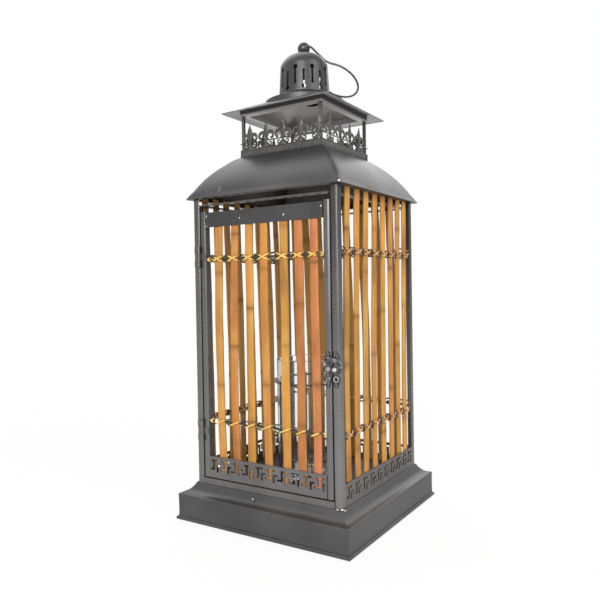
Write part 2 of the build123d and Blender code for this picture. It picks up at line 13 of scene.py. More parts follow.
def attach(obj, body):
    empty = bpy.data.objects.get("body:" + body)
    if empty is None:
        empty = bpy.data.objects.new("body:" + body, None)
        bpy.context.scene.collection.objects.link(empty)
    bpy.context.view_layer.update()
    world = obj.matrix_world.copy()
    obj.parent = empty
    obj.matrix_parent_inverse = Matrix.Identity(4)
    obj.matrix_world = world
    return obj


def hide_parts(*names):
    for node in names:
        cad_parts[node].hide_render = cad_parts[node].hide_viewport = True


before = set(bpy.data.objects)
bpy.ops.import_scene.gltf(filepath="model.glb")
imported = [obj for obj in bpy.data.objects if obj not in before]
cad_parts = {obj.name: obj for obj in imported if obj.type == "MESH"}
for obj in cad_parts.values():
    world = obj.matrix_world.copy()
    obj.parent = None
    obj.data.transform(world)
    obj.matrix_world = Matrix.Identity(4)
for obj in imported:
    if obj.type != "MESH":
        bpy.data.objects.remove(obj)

Array = np.ndarray
Surface = tuple[Array, Array]
Socket = bpy.types.NodeSocket
log = logging.getLogger("lantern")

# Sizes of pieces are in millimetres and angles in degrees, but where another unit is named.
MM = 0.001
WELD = 1e-6  # distance in metres under which points merge
# Sizes that several pieces share.
FACE = 88.0  # outer face of the posts and the door, from the axis
INNER = 86.8  # inner face of the sheets of the walls, from the axis
DECK = 38.2  # upper face of the pan
DOOR_FOOT = 46.1  # lower edge of the door
DOOR_HALF = 72.1  # half the width between the door's stiles
WALL_HALF = 80.5  # half the width between two posts
EAVE_Z = 341.4  # height of the eaves
ROOF_TOP = 388.2  # height of the roof's upper lip
CANOPY_HALF = 65.3  # half the canopy's width
CANOPY_TAN = 0.41013  # rise of the canopy's faces
WHITE = (1, 1, 1, 1)
# Noise scales in waves per metre: of the metals, of bamboo, and of straw and glass.
CLOUD, GRAIN, STREAK, FLECK, SPECK = 14.0, 900.0, 60.0, 260.0, 780.0
FIBRE, VEIN, BLOTCH, DRIFT = 700.0, 120.0, 38.0, 9.0
STRAW, PATCH, RIPPLE = 420.0, 60.0, 22.0
# Ranges of noise: where most and nearly all values lie, and where rubbed streaks, flecks and specks come out.
USUAL, BROAD = (0.3, 0.7), (0.25, 0.75)
STREAKED, FLECKED, SPECKED = (0.66, 0.74), (0.70, 0.78), (0.56, 0.74)
# Foot, head and bow of each slat across its panel, as shares of the panel's half-width.
DOOR_SLATS = ((-0.757, -0.766, -0.033), (-0.499, -0.469, -0.042), (-0.227, -0.214, -0.017),
              (0.055, 0.028, -0.014), (0.361, 0.350, 0.006), (0.619, 0.605, -0.011), (0.847, 0.838, 0.004))
WALL_SLATS = ((-0.838, -0.750, -0.020), (-0.596, -0.527, -0.030), (-0.380, -0.286, -0.019),
              (-0.124, -0.037, -0.025), (0.149, 0.206, -0.017), (0.402, 0.452, -0.027),
              (0.619, 0.681, -0.020), (0.835, 0.899, -0.012))
RIGHT_SLATS = ((-0.838, -0.785, -0.042), *WALL_SLATS[1:])


class Body(Enum):
    """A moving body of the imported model."""
    FRAME = "frame"
    DOOR = "door"
    LATCH = "latch"
    BAIL = "bail"
    GLASS = "glass"


class Side(Enum):
    """A wall of the lantern, by the turn about Z that brings the front to it, in degrees."""
    FRONT = 0
    RIGHT = 90
    BACK = 180
    LEFT = 270

    def turn(self, points: Array) -> Array:
        """Points of the front wall, turned about Z to this wall."""
        a = math.radians(self.value)
        c, s = round(math.cos(a), 12), round(math.sin(a), 12)
        return points @ np.array([[c, s, 0.0], [-s, c, 0.0], [0.0, 0.0, 1.0]])

    @property
    def panel(self) -> str:
        """Name of this wall's panel, which is the door in front."""
        return "door" if self is Side.FRONT else self.name.lower()

    @property
    def body(self) -> Body:
        """Body that this wall's panel rides on."""
        return Body.DOOR if self is Side.FRONT else Body.FRAME


def grid_quads(rows: int, cols: int, close_rows: bool = False, close_cols: bool = False) -> Array:
    """Quads of a grid of points.

    Args:
        rows: number of rows of points.
        cols: number of points in a row.
        close_rows: joins the last row to the first.
        close_cols: joins the last point of a row to its first.

    Returns:
        Index array of shape (faces, 4).
    """
    i, j = np.meshgrid(np.arange(rows if close_rows else rows - 1),
                       np.arange(cols if close_cols else cols - 1), indexing="ij")
    i2, j2 = (i + 1) % rows, (j + 1) % cols
    quads = np.stack([i * cols + j, i * cols + j2, i2 * cols + j2, i2 * cols + j], axis=-1)
    return quads.reshape(-1, 4)


def joined(*values: Array | float) -> Array:
    """Points from their coordinates, each an array or one number, brought to one shape."""
    return np.stack(np.broadcast_arrays(*values), axis=-1)


def chain(*parts: Array | list, axis: int = 0) -> Array:
    """Arrays one after another along an axis."""
    return np.concatenate(parts, axis=axis)


def around(count: int) -> Array:
    """Even angles of a whole turn, in radians."""
    return np.linspace(0, 2 * math.pi, count, endpoint=False)


def each(value: Array | float, count: int) -> Array:
    """One value for each of a number of points."""
    return np.broadcast_to(np.asarray(value, float), (count,))


def ended(rows: Array) -> Array:
    """Rows with the first and the last of them doubled."""
    return chain(rows[:1], rows, rows[-1:])


def closed(rings: Array) -> Surface:
    """Surface through a row of rings (rows, points, 3), its ends closed to the middle of the end rings."""
    mid = np.broadcast_to(rings.mean(axis=1, keepdims=True), rings.shape)
    points = chain(mid[:1], rings, mid[-1:])
    return points, grid_quads(len(points), points.shape[1], close_cols=True)


def reach(points: Array) -> Array:
    """Half the side of the upright square that each point lies on."""
    return np.abs(points[..., :2]).max(axis=-1)


def unit(v: Array) -> Array:
    """Vectors of length one."""
    return v / np.maximum(np.linalg.norm(v, axis=-1, keepdims=True), 1e-12)


def wobble(points: Array, scale: float, seed: float) -> Array:
    """Smooth irregular value of about -1 to 1 at each point: a sum of sines along skewed directions.

    Args:
        points: places, in millimetres.
        scale: length of a wave, in millimetres.
        seed: phase that makes one surface differ from another.

    Returns:
        One value for each point.
    """
    k = 2 * math.pi / scale
    x, y, z = points[..., 0], points[..., 1], points[..., 2]
    return (np.sin(k * (x + 0.6 * y + 0.3 * z) + seed) + np.sin(k * (0.4 * x - y + 0.8 * z) + 2.1 * seed)
            + np.sin(k * (0.7 * z - 0.5 * x + 0.2 * y) + 3.7 * seed)) / 3.0


def peak(way: Array, width: float) -> Array:
    """Soft peak: 1 where a distance is nought, falling away over a width."""
    return np.exp(-(way / width) ** 2)


def smooth(mesh: bpy.types.Mesh, crease: float) -> None:
    """Shades a mesh smooth but for edges sharper than an angle in degrees."""
    mesh.shade_smooth()
    mesh.set_sharp_from_angle(angle=math.radians(crease))


@dataclass
class Stock:
    """Surfaces gathered for one piece, in millimetres."""
    verts: list = field(default_factory=list)
    faces: list = field(default_factory=list)
    marks: dict = field(default_factory=dict)
    count: int = 0

    def add(self, verts: Array, quads: Array, **marks: Array | float) -> "Stock":
        """Adds one surface.

        Args:
            verts: points of any leading shape, last axis XYZ.
            quads: index array into them.
            marks: values at the points, kept as mesh attributes.

        Returns:
            The stock itself.
        """
        flat = verts.reshape(-1, 3)
        self.verts.append(flat)
        self.faces.append(quads + self.count)
        for name, value in marks.items():
            held = np.broadcast_to(np.asarray(value, float), verts.shape[:-1]).reshape(-1)
            self.marks.setdefault(name, []).append((self.count, held))
        self.count += len(flat)
        return self

    def build(self, name: str, crease: float = 40.0) -> bpy.types.Object:
        """Makes the piece: points merged, faces outward, smooth but for edges sharper than an angle.

        Args:
            name: the piece's name.
            crease: angle in degrees over which an edge stays sharp.

        Returns:
            The new object, at the origin.
        """
        points = np.concatenate(self.verts) * MM
        mesh = bpy.data.meshes.new(name)
        mesh.from_pydata(points.tolist(), [], np.concatenate(self.faces).tolist())
        for mark, runs in self.marks.items():
            values = np.zeros(len(points))
            for start, held in runs:
                values[start:start + len(held)] = held
            mesh.attributes.new(mark, "FLOAT", "POINT").data.foreach_set("value", values)
        bm = bmesh.new()
        bm.from_mesh(mesh)
        bmesh.ops.remove_doubles(bm, verts=bm.verts, dist=WELD)
        bmesh.ops.dissolve_degenerate(bm, edges=bm.edges, dist=WELD)
        bmesh.ops.recalc_face_normals(bm, faces=bm.faces)
        bm.to_mesh(mesh)
        bm.free()
        smooth(mesh, crease)
        piece = bpy.data.objects.new(name, mesh)
        bpy.context.scene.collection.objects.link(piece)
        return piece


def cut_out(piece: bpy.types.Object, cutter: bpy.types.Object, crease: float) -> bpy.types.Object:
    """Cuts one piece out of another and removes the cutter.

    Args:
        piece: the piece that is cut.
        cutter: the piece whose room is taken away.
        crease: angle in degrees over which an edge of the result stays sharp.

    Returns:
        The cut piece.
    """
    cut = piece.modifiers.new("cut", "BOOLEAN")
    cut.operation = "DIFFERENCE"
    cut.solver = "EXACT"
    cut.object = cutter
    shown = bpy.context.evaluated_depsgraph_get()
    whole = bpy.data.meshes.new_from_object(piece.evaluated_get(shown))
    piece.modifiers.clear()
    piece.data = whole
    whole.name = piece.name
    smooth(whole, crease)
    bpy.data.objects.remove(cutter, do_unlink=True)
    return piece


def turned(profile: Array, segments: int) -> Surface:
    """Surface of revolution: a profile of radius and height carried round Z.

    Args:
        profile: points (n, 2) of radius and height.
        segments: steps round the axis.

    Returns:
        Points (n, segments, 3) and quads.
    """
    a = around(segments)
    r, z = profile[:, :1], profile[:, 1:]
    return joined(r * np.cos(a), r * np.sin(a), z), grid_quads(len(profile), segments, close_cols=True)


def mitred(profile: Array, columns: int, crowd: float = 0.0) -> list[Surface]:
    """Square-plan surface: a profile of half-width and height run along four sides to mitred corners.

    Args:
        profile: points (n, 2) of half-width and height.
        columns: points along each side.
        crowd: how far the columns gather at the corners, from 0 to 1.

    Returns:
        Four pairs of points (n, columns, 3) and quads.
    """
    u = np.linspace(-1, 1, columns)
    u = (1 - crowd) * u + crowd * np.sin(math.pi / 2 * u)
    h, z = profile[:, :1], profile[:, 1:]
    front = joined(h * u, -h, z)
    quads = grid_quads(len(profile), columns)
    return [(side.turn(front), quads) for side in Side]


def tube(path: Array, radius: Array | float, sides: int, ref: tuple = (0.0, 0.0, 1.0),
         loop: bool = False, lobes: int = 0, depth: float = 0.0, twist: float = 0.0) -> Surface:
    """Round or lobed section carried along a path, its ends closed to points.

    Args:
        path: points (n, 3).
        radius: one radius, or one for each point.
        sides: points round the section.
        ref: direction that the section's frame is taken from, never along the path.
        loop: joins the end of the path to its start.
        lobes: number of ridges round the section.
        depth: height of the ridges as a share of the radius.
        twist: turns of the ridges per millimetre.

    Returns:
        Points (rows, sides, 3) and quads.
    """
    ahead = (np.roll(path, -1, axis=0) - np.roll(path, 1, axis=0)) if loop else np.gradient(path, axis=0)
    tangent = unit(ahead)
    across = unit(np.cross(tangent, np.asarray(ref, float)))
    up = np.cross(across, tangent)
    step = np.linalg.norm(np.diff(path, axis=0), axis=1)
    run = chain([0.0], np.cumsum(step))[:, None]
    a = around(sides)[None, :]
    r = each(radius, len(path))[:, None]
    r = r * (1 + depth * np.cos(lobes * a - 2 * math.pi * twist * run)) if lobes else r
    ring = path[:, None, :] + (r * np.cos(a))[..., None] * across[:, None, :] \
        + (r * np.sin(a))[..., None] * up[:, None, :]
    if not loop:
        cap = np.broadcast_to(path[:, None, :], ring.shape)
        ring = chain(cap[:1], ring, cap[-1:])
    return ring, grid_quads(len(ring), sides, close_rows=loop, close_cols=True)


def ribbon(path: Array, half: Array | float, front: float, back: float, bevel: float,
           crown: float = 0.0) -> Surface:
    """Flat bar in the front wall: a bevelled section carried along a path of X and height.

    Args:
        path: points (n, 2) of X and height.
        half: half the bar's width, one value or one for each point.
        front: distance of its outer face from the axis.
        back: distance of its inner face from the axis.
        bevel: width of its bevelled edges.
        crown: rise of the middle of its outer face.

    Returns:
        Points (rows, 9, 3) and quads.
    """
    tangent = unit(np.gradient(path, axis=0))
    normal = joined(-tangent[:, 1], tangent[:, 0])
    w = each(half, len(path))[:, None]
    b = np.minimum(bevel, 0.45 * w)
    rise = np.minimum(crown, w)
    off = chain(-w, -w + b, w - b, w, w, w - b, 0 * w, -w + b, -w, axis=1)
    deep = chain(back + b, back + 0 * b, back + 0 * b, back + b, front - b, front + 0 * b,
                 front + rise, front + 0 * b, front - b, axis=1)
    flat = path[:, None, :] + off[..., None] * normal[:, None, :]
    return closed(joined(flat[..., 0], -deep, flat[..., 1]))


def arc(centre: tuple, radius: float, start: float, end: float, count: int) -> Array:
    """Points of a circle's arc in a plane, between two angles in degrees."""
    a = np.radians(np.linspace(start, end, count))
    return joined(centre[0] + radius * np.cos(a), centre[1] + radius * np.sin(a))


def bowed(start: tuple, end: tuple, rise: float, count: int) -> Array:
    """Points of an arc between two points of a plane, rising to the right of its chord.

    Args:
        start: first point.
        end: last point.
        rise: the arc's height over its chord.
        count: number of points.

    Returns:
        Points (count, 2): the chord plus its normal times a parabola of that height.
    """
    p, q = np.asarray(start, float), np.asarray(end, float)
    chord = q - p
    normal = np.array([chord[1], -chord[0]]) / np.linalg.norm(chord)
    t = np.linspace(0, 1, count)[:, None]
    return p + chord * t + normal * (4 * rise * t * (1 - t))


class Bench:
    """Node tree of a material or of the world, with short calls to lay its nodes."""

    def __init__(self, block: bpy.types.Material | bpy.types.World, shader: str = "Principled BSDF") -> None:
        """Opens the tree of a new block, which has one shader."""
        block.use_nodes = True
        self.block, self.tree = block, block.node_tree
        self.shader = self.tree.nodes[shader]
        self.place = self.node("ShaderNodeTexCoord").outputs["Object"]

    def feed(self, node: bpy.types.Node, inputs: dict) -> None:
        """Links outputs to a node's sockets, or sets the sockets' values, by the sockets' names."""
        for key, value in inputs.items():
            if isinstance(value, Socket):
                self.tree.links.new(value, node.inputs[key])
            else:
                node.inputs[key].default_value = value

    def node(self, kind: str, inputs: dict | None = None, **settings: object) -> bpy.types.Node:
        """A node of a kind, with its settings and what its sockets get."""
        made = self.tree.nodes.new(kind)
        for key, value in settings.items():
            setattr(made, key, value)
        self.feed(made, inputs or {})
        return made

    def noise(self, scale: float, stretch: tuple | None = None, detail: float = 4.0,
              rough: float = 0.55) -> Socket:
        """Noise value on object coordinates, stretched along the axes."""
        held = self.place
        if stretch:
            held = self.node("ShaderNodeMapping", {"Vector": held, "Scale": stretch}).outputs["Vector"]
        inputs = {"Vector": held, "Scale": scale, "Detail": detail, "Roughness": rough}
        return self.node("ShaderNodeTexNoise", inputs).outputs["Fac"]

    def ramp(self, value: Socket, stops: tuple) -> Socket:
        """Colour ramp through stops of position and colour."""
        made = self.node("ShaderNodeValToRGB", {"Fac": value})
        held = made.color_ramp.elements
        while len(held) < len(stops):
            held.new(0.5)
        for element, (spot, colour) in zip(held, stops):
            element.position = spot
            element.color = (*colour, 1.0)
        return made.outputs["Color"]

    def span(self, value: Socket, low: float, high: float, out_low: float = 0.0,
             out_high: Socket | float = 1.0) -> Socket:
        """Value mapped from one range to another, held within the second."""
        inputs = {"Value": value, "From Min": low, "From Max": high, "To Min": out_low, "To Max": out_high}
        return self.node("ShaderNodeMapRange", inputs).outputs["Result"]

    def mix(self, factor: Socket, one: Socket | tuple, two: Socket | tuple) -> Socket:
        """Two colours mixed."""
        a, b = (colour if isinstance(colour, Socket) else (*colour, 1.0) for colour in (one, two))
        made = self.node("ShaderNodeMix", {"Factor": factor, "A": a, "B": b}, data_type="RGBA")
        return made.outputs["Result"]

    def sum(self, one: Socket, two: Socket | float, mode: str = "ADD") -> Socket:
        """Two values added, or put through another operation."""
        return self.node("ShaderNodeMath", {0: one, 1: two}, operation=mode).outputs["Value"]

    def height(self) -> Socket:
        """Height over the foot, in metres."""
        return self.node("ShaderNodeSeparateXYZ", {"Vector": self.place}).outputs["Z"]

    def mark(self, name: str) -> Socket:
        """Value of a mesh attribute."""
        return self.node("ShaderNodeAttribute", attribute_name=name).outputs["Fac"]

    def watched(self) -> Socket:
        """Value of 1 for a ray from the camera, off a gloss or through glass, and 0 for other light."""
        ray = self.node("ShaderNodeLightPath").outputs
        held = self.sum(ray["Is Camera Ray"], ray["Is Glossy Ray"], "MAXIMUM")
        return self.sum(held, ray["Is Transmission Ray"], "MAXIMUM")

    def blend(self, share: Socket, kind: str, end: str, **inputs: object) -> None:
        """Sends the shader to the output, mixed by a share with a second one.

        Args:
            share: share of the second shader.
            kind: the second shader's kind of node.
            end: name of the output node.
            inputs: what the second shader's sockets get.
        """
        ways = {"Fac": share, 1: self.shader.outputs[0], 2: self.node(kind, inputs).outputs[0]}
        mix = self.node("ShaderNodeMixShader", ways)
        self.feed(self.tree.nodes[end], {"Surface": mix.outputs["Shader"]})

    def finish(self, relief: Socket, strength: float, distance: float,
               **inputs: object) -> bpy.types.Material:
        """Feeds the shader and lays a relief on its normal.

        Args:
            relief: height of the relief.
            strength: how strongly it shows.
            distance: its depth, in metres.
            inputs: what the shader's sockets get, by their names with underscores for spaces.

        Returns:
            The finished material.
        """
        bump = self.node("ShaderNodeBump", {"Strength": strength, "Distance": distance, "Height": relief})
        self.feed(self.shader, {key.replace("_", " "): value for key, value in inputs.items()})
        self.feed(self.shader, {"Normal": bump.outputs["Normal"]})
        return self.block


@dataclass(frozen=True)
class MetalFinish:
    """Lacquered or bare metal with soft clouding, fine grain and rubbed marks, and, where asked, painted
    light, painted shade and a painted reflection of the floor low down.
    """
    name: str
    dark: tuple
    light: tuple
    rubbed: tuple
    metallic: float
    rough: tuple
    rubbed_share: float = 0.5
    grain: float = 0.04
    speckle: float = 0.15
    # colours of painted light and painted shade, laid where a piece's marks ask for them
    lining: tuple | None = None
    pit: tuple | None = None
    glance: float = 0.72
    # painted reflection of the bright floor: a paler colour that grows from the first height down to the
    # second, in metres, made uneven by the clouding
    floor_sheen: tuple | None = None
    floor_sheen_heights: tuple = (0.30, 0.12)  # in metres
    floor_sheen_shares: tuple = (0.8, 1.0)
    grain_rough: tuple = (-0.04, 0.04)
    cloud_swell: float = 3.0
    depth: float = 0.0006  # of the relief, in metres

    def make(self) -> bpy.types.Material:
        """The material: two marks lay painted light (highlights, paler undersides) and painted shade (dark
        recesses and outlines), and a painted reflection of the floor lightens it low down.
        """
        b = Bench(bpy.data.materials.new(self.name))
        cloud = b.noise(CLOUD, detail=5.0)
        grain = b.noise(GRAIN, detail=2.0)
        streak = b.noise(STREAK, (1.0, 1.0, 0.12), detail=6.0, rough=0.7)
        fleck = b.noise(FLECK, detail=3.0, rough=0.7)
        speck = b.noise(SPECK, (1.0, 1.0, 0.7), detail=2.0, rough=0.6)
        body = b.mix(b.span(cloud, *USUAL), self.dark, self.light)
        # painted reflection of the floor, lightening the metal low down
        if self.floor_sheen:
            low = b.span(b.height(), *self.floor_sheen_heights)
            uneven = b.span(cloud, *USUAL, *self.floor_sheen_shares)
            body = b.mix(b.sum(low, uneven, "MULTIPLY"), body, self.floor_sheen)
        # painted light and painted shade: pale and dark colours laid over the body by the piece's marks
        for mark, coat in (("lining", self.lining), ("pit", self.pit)):
            if coat:
                body = b.mix(b.mark(mark), body, coat)
        worn = b.sum(b.span(streak, *STREAKED), b.span(fleck, *FLECKED), "MAXIMUM")
        worn = b.sum(worn, self.rubbed_share, "MULTIPLY")
        worn = b.sum(worn, b.span(speck, *SPECKED, 0.0, self.speckle), "MAXIMUM")
        rough = b.sum(b.span(cloud, *BROAD, *self.rough), b.span(grain, *USUAL, *self.grain_rough))
        return b.finish(b.sum(grain, b.sum(cloud, self.cloud_swell, "MULTIPLY")), self.grain, self.depth,
                        Base_Color=b.mix(worn, body, self.rubbed), Roughness=rough, Metallic=self.metallic,
                        Specular_Tint=(self.glance, self.glance, self.glance, 1.0))


@dataclass(frozen=True)
class BambooFinish:
    """Split bamboo: a tone for each slat, fibre streaks along it, dark node bands and a dull inner side."""
    name: str = "bamboo_skin"
    palette: tuple = (
        (0.0, (0.42, 0.215, 0.042)), (0.25, (0.60, 0.29, 0.055)), (0.5, (0.59, 0.245, 0.06)),
        (0.75, (0.50, 0.18, 0.06)), (1.0, (0.60, 0.21, 0.095)))
    streaked: tuple = (0.32, 0.14, 0.035)
    pale: tuple = (0.68, 0.40, 0.11)
    stained: tuple = (0.25, 0.10, 0.03)
    fibred: tuple = (0.10, 0.05, 0.015)
    inner: tuple = (0.46, 0.25, 0.07)
    band: tuple = (0.16, 0.065, 0.02)
    rough: tuple = (0.42, 0.62)
    gloss: float = 0.19
    relief: tuple = (0.25, 0.0004)  # strength, and depth in metres

    def make(self) -> bpy.types.Material:
        """The material."""
        b = Bench(bpy.data.materials.new(self.name))
        fibre = b.noise(FIBRE, (1.0, 1.0, 0.02), detail=3.0)
        streak = b.noise(VEIN, (1.0, 1.0, 0.05), detail=4.0)
        blotch = b.noise(BLOTCH, (1.0, 1.0, 0.45), detail=4.0)
        slow = b.noise(DRIFT, (1.0, 1.0, 0.8), detail=2.0)
        body = b.ramp(b.sum(b.mark("tone"), b.span(slow, *USUAL, -0.24, 0.24)), self.palette)
        for share, colour in (
                (b.span(streak, 0.38, 0.66, 0.0, 0.55), self.streaked),
                (b.span(blotch, 0.52, 0.72, 0.0, 0.55), self.pale),
                (b.span(blotch, 0.45, 0.30, 0.0, 0.7), self.stained),
                (b.span(fibre, *USUAL, 0.0, 0.16), self.fibred),
                (b.mark("inner"), self.inner), (b.mark("band"), self.band)):
            body = b.mix(share, body, colour)
        rough = b.span(streak, *USUAL, *self.rough)
        return b.finish(b.sum(fibre, streak), *self.relief, Base_Color=body, Roughness=rough,
                        Specular_IOR_Level=self.gloss)


@dataclass(frozen=True)
class RaffiaFinish:
    """Twisted straw: lengthwise fibres of a pale and a deep tone with darker patches, and a near-black
    painted shade where the strand's shade mark asks for it.
    """
    name: str
    pale: tuple
    deep: tuple
    # colour of painted shade, on the strands in the gaps and on the strand behind them
    shade_colour: tuple
    roughness: float = 0.62
    relief: tuple = (0.35, 0.0004)  # strength, and depth in metres

    def make(self) -> bpy.types.Material:
        """The material."""
        b = Bench(bpy.data.materials.new(self.name))
        fibre = b.noise(STRAW, (0.15, 1.0, 1.0), detail=3.0)
        patch = b.noise(PATCH, detail=3.0)
        body = b.mix(b.span(fibre, 0.35, 0.65), self.deep, self.pale)
        body = b.mix(b.span(patch, 0.5, 0.7, 0.0, 0.4), body, self.deep)
        return b.finish(fibre, *self.relief, Base_Color=b.mix(b.mark("shade"), body, self.shade_colour),
                        Roughness=self.roughness)


@dataclass(frozen=True)
class GlassFinish:
    """Clear soda glass with a faint ripple."""
    name: str = "clear_soda_glass"
    dull: tuple = (0.93, 0.96, 0.95)
    clear: tuple = (0.98, 0.99, 0.98)
    roughness: float = 0.03
    bending: float = 1.47
    relief: tuple = (0.06, 0.0008)  # strength, and depth in metres

    def make(self) -> bpy.types.Material:
        """The material."""
        b = Bench(bpy.data.materials.new(self.name))
        ripple = b.noise(RIPPLE, (1.0, 1.0, 0.4), detail=2.0)
        tint = b.mix(b.span(ripple, *USUAL), self.dull, self.clear)
        return b.finish(ripple, *self.relief, Base_Color=tint, Roughness=self.roughness, IOR=self.bending,
                        Transmission_Weight=1.0)


class Palette:
    """All finishes of the lantern."""

    def __init__(self) -> None:
        """Makes each material once."""
        pewter = ((0.045, 0.0435, 0.044), (0.076, 0.074, 0.074), (0.25, 0.24, 0.24))
        black = (0.008, 0.008, 0.008)
        self.metal = MetalFinish("pewter_lacquer", *pewter, metallic=0.6, rough=(0.32, 0.44)).make()
        self.pan = MetalFinish("pan_pewter", (0.057, 0.0555, 0.056), (0.095, 0.0925, 0.0925),
                               (0.30, 0.29, 0.29), metallic=0.6, rough=(0.28, 0.40), speckle=0.07).make()
        # the pale colour here is painted light, on the canopy's underside and on the frame's rolled foot and
        # inner faces
        self.canopy = MetalFinish("canopy_pewter", *pewter, metallic=0.45, rough=(0.34, 0.48),
                                  lining=(0.55, 0.54, 0.54)).make()
        # the next two are a lit and a shaded copy of one pewter, the second painted darker, both with a
        # painted reflection of the floor low down
        self.bar = MetalFinish("lit_bar_pewter", (0.082, 0.080, 0.078), (0.124, 0.121, 0.119),
                               (0.46, 0.45, 0.44), metallic=0.6, rough=(0.22, 0.32), speckle=0.07,
                               glance=0.45, floor_sheen=(0.165, 0.161, 0.158)).make()
        self.post = MetalFinish("shaded_bar_pewter", (0.050, 0.0485, 0.048), (0.078, 0.0765, 0.075),
                                (0.42, 0.41, 0.40), metallic=0.6, rough=(0.22, 0.32), speckle=0.07,
                                glance=0.45, floor_sheen=(0.20, 0.195, 0.192)).make()
        # near-black painted shade for the strips in the gaps round the door, standing in for the shadow there
        self.shadow = MetalFinish("painted_gap_shade", black, (0.016, 0.016, 0.016), (0.05, 0.05, 0.05),
                                  metallic=0.3, rough=(0.5, 0.6), glance=0.3).make()
        self.fret = MetalFinish("fret_pewter", (0.105, 0.102, 0.101), (0.165, 0.161, 0.159),
                                (0.40, 0.39, 0.385), metallic=0.6, rough=(0.30, 0.42), speckle=0.2,
                                glance=0.6).make()
        self.iron = MetalFinish("cast_cresting", (0.040, 0.038, 0.038), (0.095, 0.093, 0.091),
                                (0.40, 0.39, 0.38), metallic=0.65, rough=(0.30, 0.46), rubbed_share=0.7,
                                grain=0.10, speckle=0.5).make()
        # pale painted highlights and black painted shade over the latch pieces
        self.latch = MetalFinish("latch_satin", (0.065, 0.063, 0.063), (0.105, 0.102, 0.10),
                                 (0.34, 0.33, 0.32), metallic=0.7, rough=(0.30, 0.44), rubbed_share=0.6,
                                 lining=(0.33, 0.32, 0.315), pit=black).make()
        self.wire = MetalFinish("drawn_wire", (0.07, 0.068, 0.068), (0.14, 0.138, 0.136),
                                (0.30, 0.29, 0.28), metallic=0.6, rough=(0.30, 0.44),
                                rubbed_share=0.6).make()
        self.solder = MetalFinish("solder_bright", (0.40, 0.39, 0.38), (0.62, 0.61, 0.60),
                                  (0.80, 0.79, 0.78), metallic=0.85, rough=(0.26, 0.42), rubbed_share=0.6,
                                  grain=0.12).make()
        self.bamboo = BambooFinish().make()
        self.straw = RaffiaFinish("door_raffia", (0.96, 0.70, 0.20), (0.74, 0.42, 0.06),
                                  (0.035, 0.030, 0.022)).make()
        self.brown_straw = RaffiaFinish("wall_raffia", (0.80, 0.50, 0.22), (0.34, 0.15, 0.05),
                                        (0.040, 0.028, 0.020)).make()
        self.glass = GlassFinish().make()


def settle(piece: bpy.types.Object, material: bpy.types.Material, *nodes: str, body: Body = Body.FRAME,
           slot: str = "dark_metal") -> None:
    """Dresses a piece and puts it on its body.

    Args:
        piece: the new object.
        material: its finish.
        nodes: CAD nodes that it replaces.
        body: the body that it rides on.
        slot: the record's material slot that it stands for; not used.
    """
    piece.data.materials.clear()
    piece.data.materials.append(material)
    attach(piece, body.value)
    if nodes:
        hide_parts(*nodes)
    log.info("%s rides on %s, stands for %s, %d faces", piece.name, body.value, list(nodes) or "no node",
             len(piece.data.polygons))


@dataclass
class BasePan:
    """Folded pan with a rolled foot bead and a coved shoulder."""
    half: float = 103.2
    side_top: float = 28.0
    deck: float = DECK
    rim: float = 89.0
    dish: float = 1.9
    bead: float = 2.0
    wall: float = 1.2
    hem: float = 3.2
    hem_top: float = 4.0
    fold: float = 1.0
    draw: float = 0.0022
    wave: float = 90.0

    def profile(self) -> Array:
        """Closed section: hem, bead, side, cove and deck outside, then the inner skin back to the hem."""
        h, w, f, z = self.half, self.wall, self.fold, self.deck
        bead = arc((h, self.bead), self.bead, -90, 90, 11)
        side = joined(h, np.linspace(2 * self.bead, self.side_top - f, 6))
        fold = arc((h - f, self.side_top - f), f, 0, 62, 6)
        cove = bowed((fold[-1, 0] - 0.4, fold[-1, 1] + 0.2), (self.rim + 0.6, z - 0.5), -self.dish, 14)
        lip = arc((self.rim - 0.4, z - f), f, 40, 90, 5)
        deck = np.array([[80.0, z], [40.0, z], [0.0, z]])
        under = np.array([[0.0, z - w], [60.0, z - w], [self.rim - w, z - w]])
        inner = bowed((self.rim - w, z - w), (h - w, self.side_top - w), self.dish, 8)[1:]
        foot = np.array([[h - w, self.hem_top], [h - self.hem, self.hem_top], [h - self.hem, 0.0], [h, 0.0]])
        return chain(bead, side, fold, cove, lip, deck, under, inner, foot)

    def build(self, finish: Palette) -> None:
        """Makes the pan, its sides drawn in a little by a slow wave."""
        stock = Stock()
        for points, quads in mitred(self.profile(), 41):
            z = points[..., 2]
            skin = (z > 6) & (z < self.side_top - 2) & (reach(points) > self.half - 0.5)
            draw = np.where(skin, 1 - self.draw * (1 + wobble(points, self.wave, 1.7)), 1.0)
            points[..., :2] *= draw[..., None]
            stock.add(points, quads)
        settle(stock.build("base_pan_skin", crease=32.0), finish.pan, "base_pan")


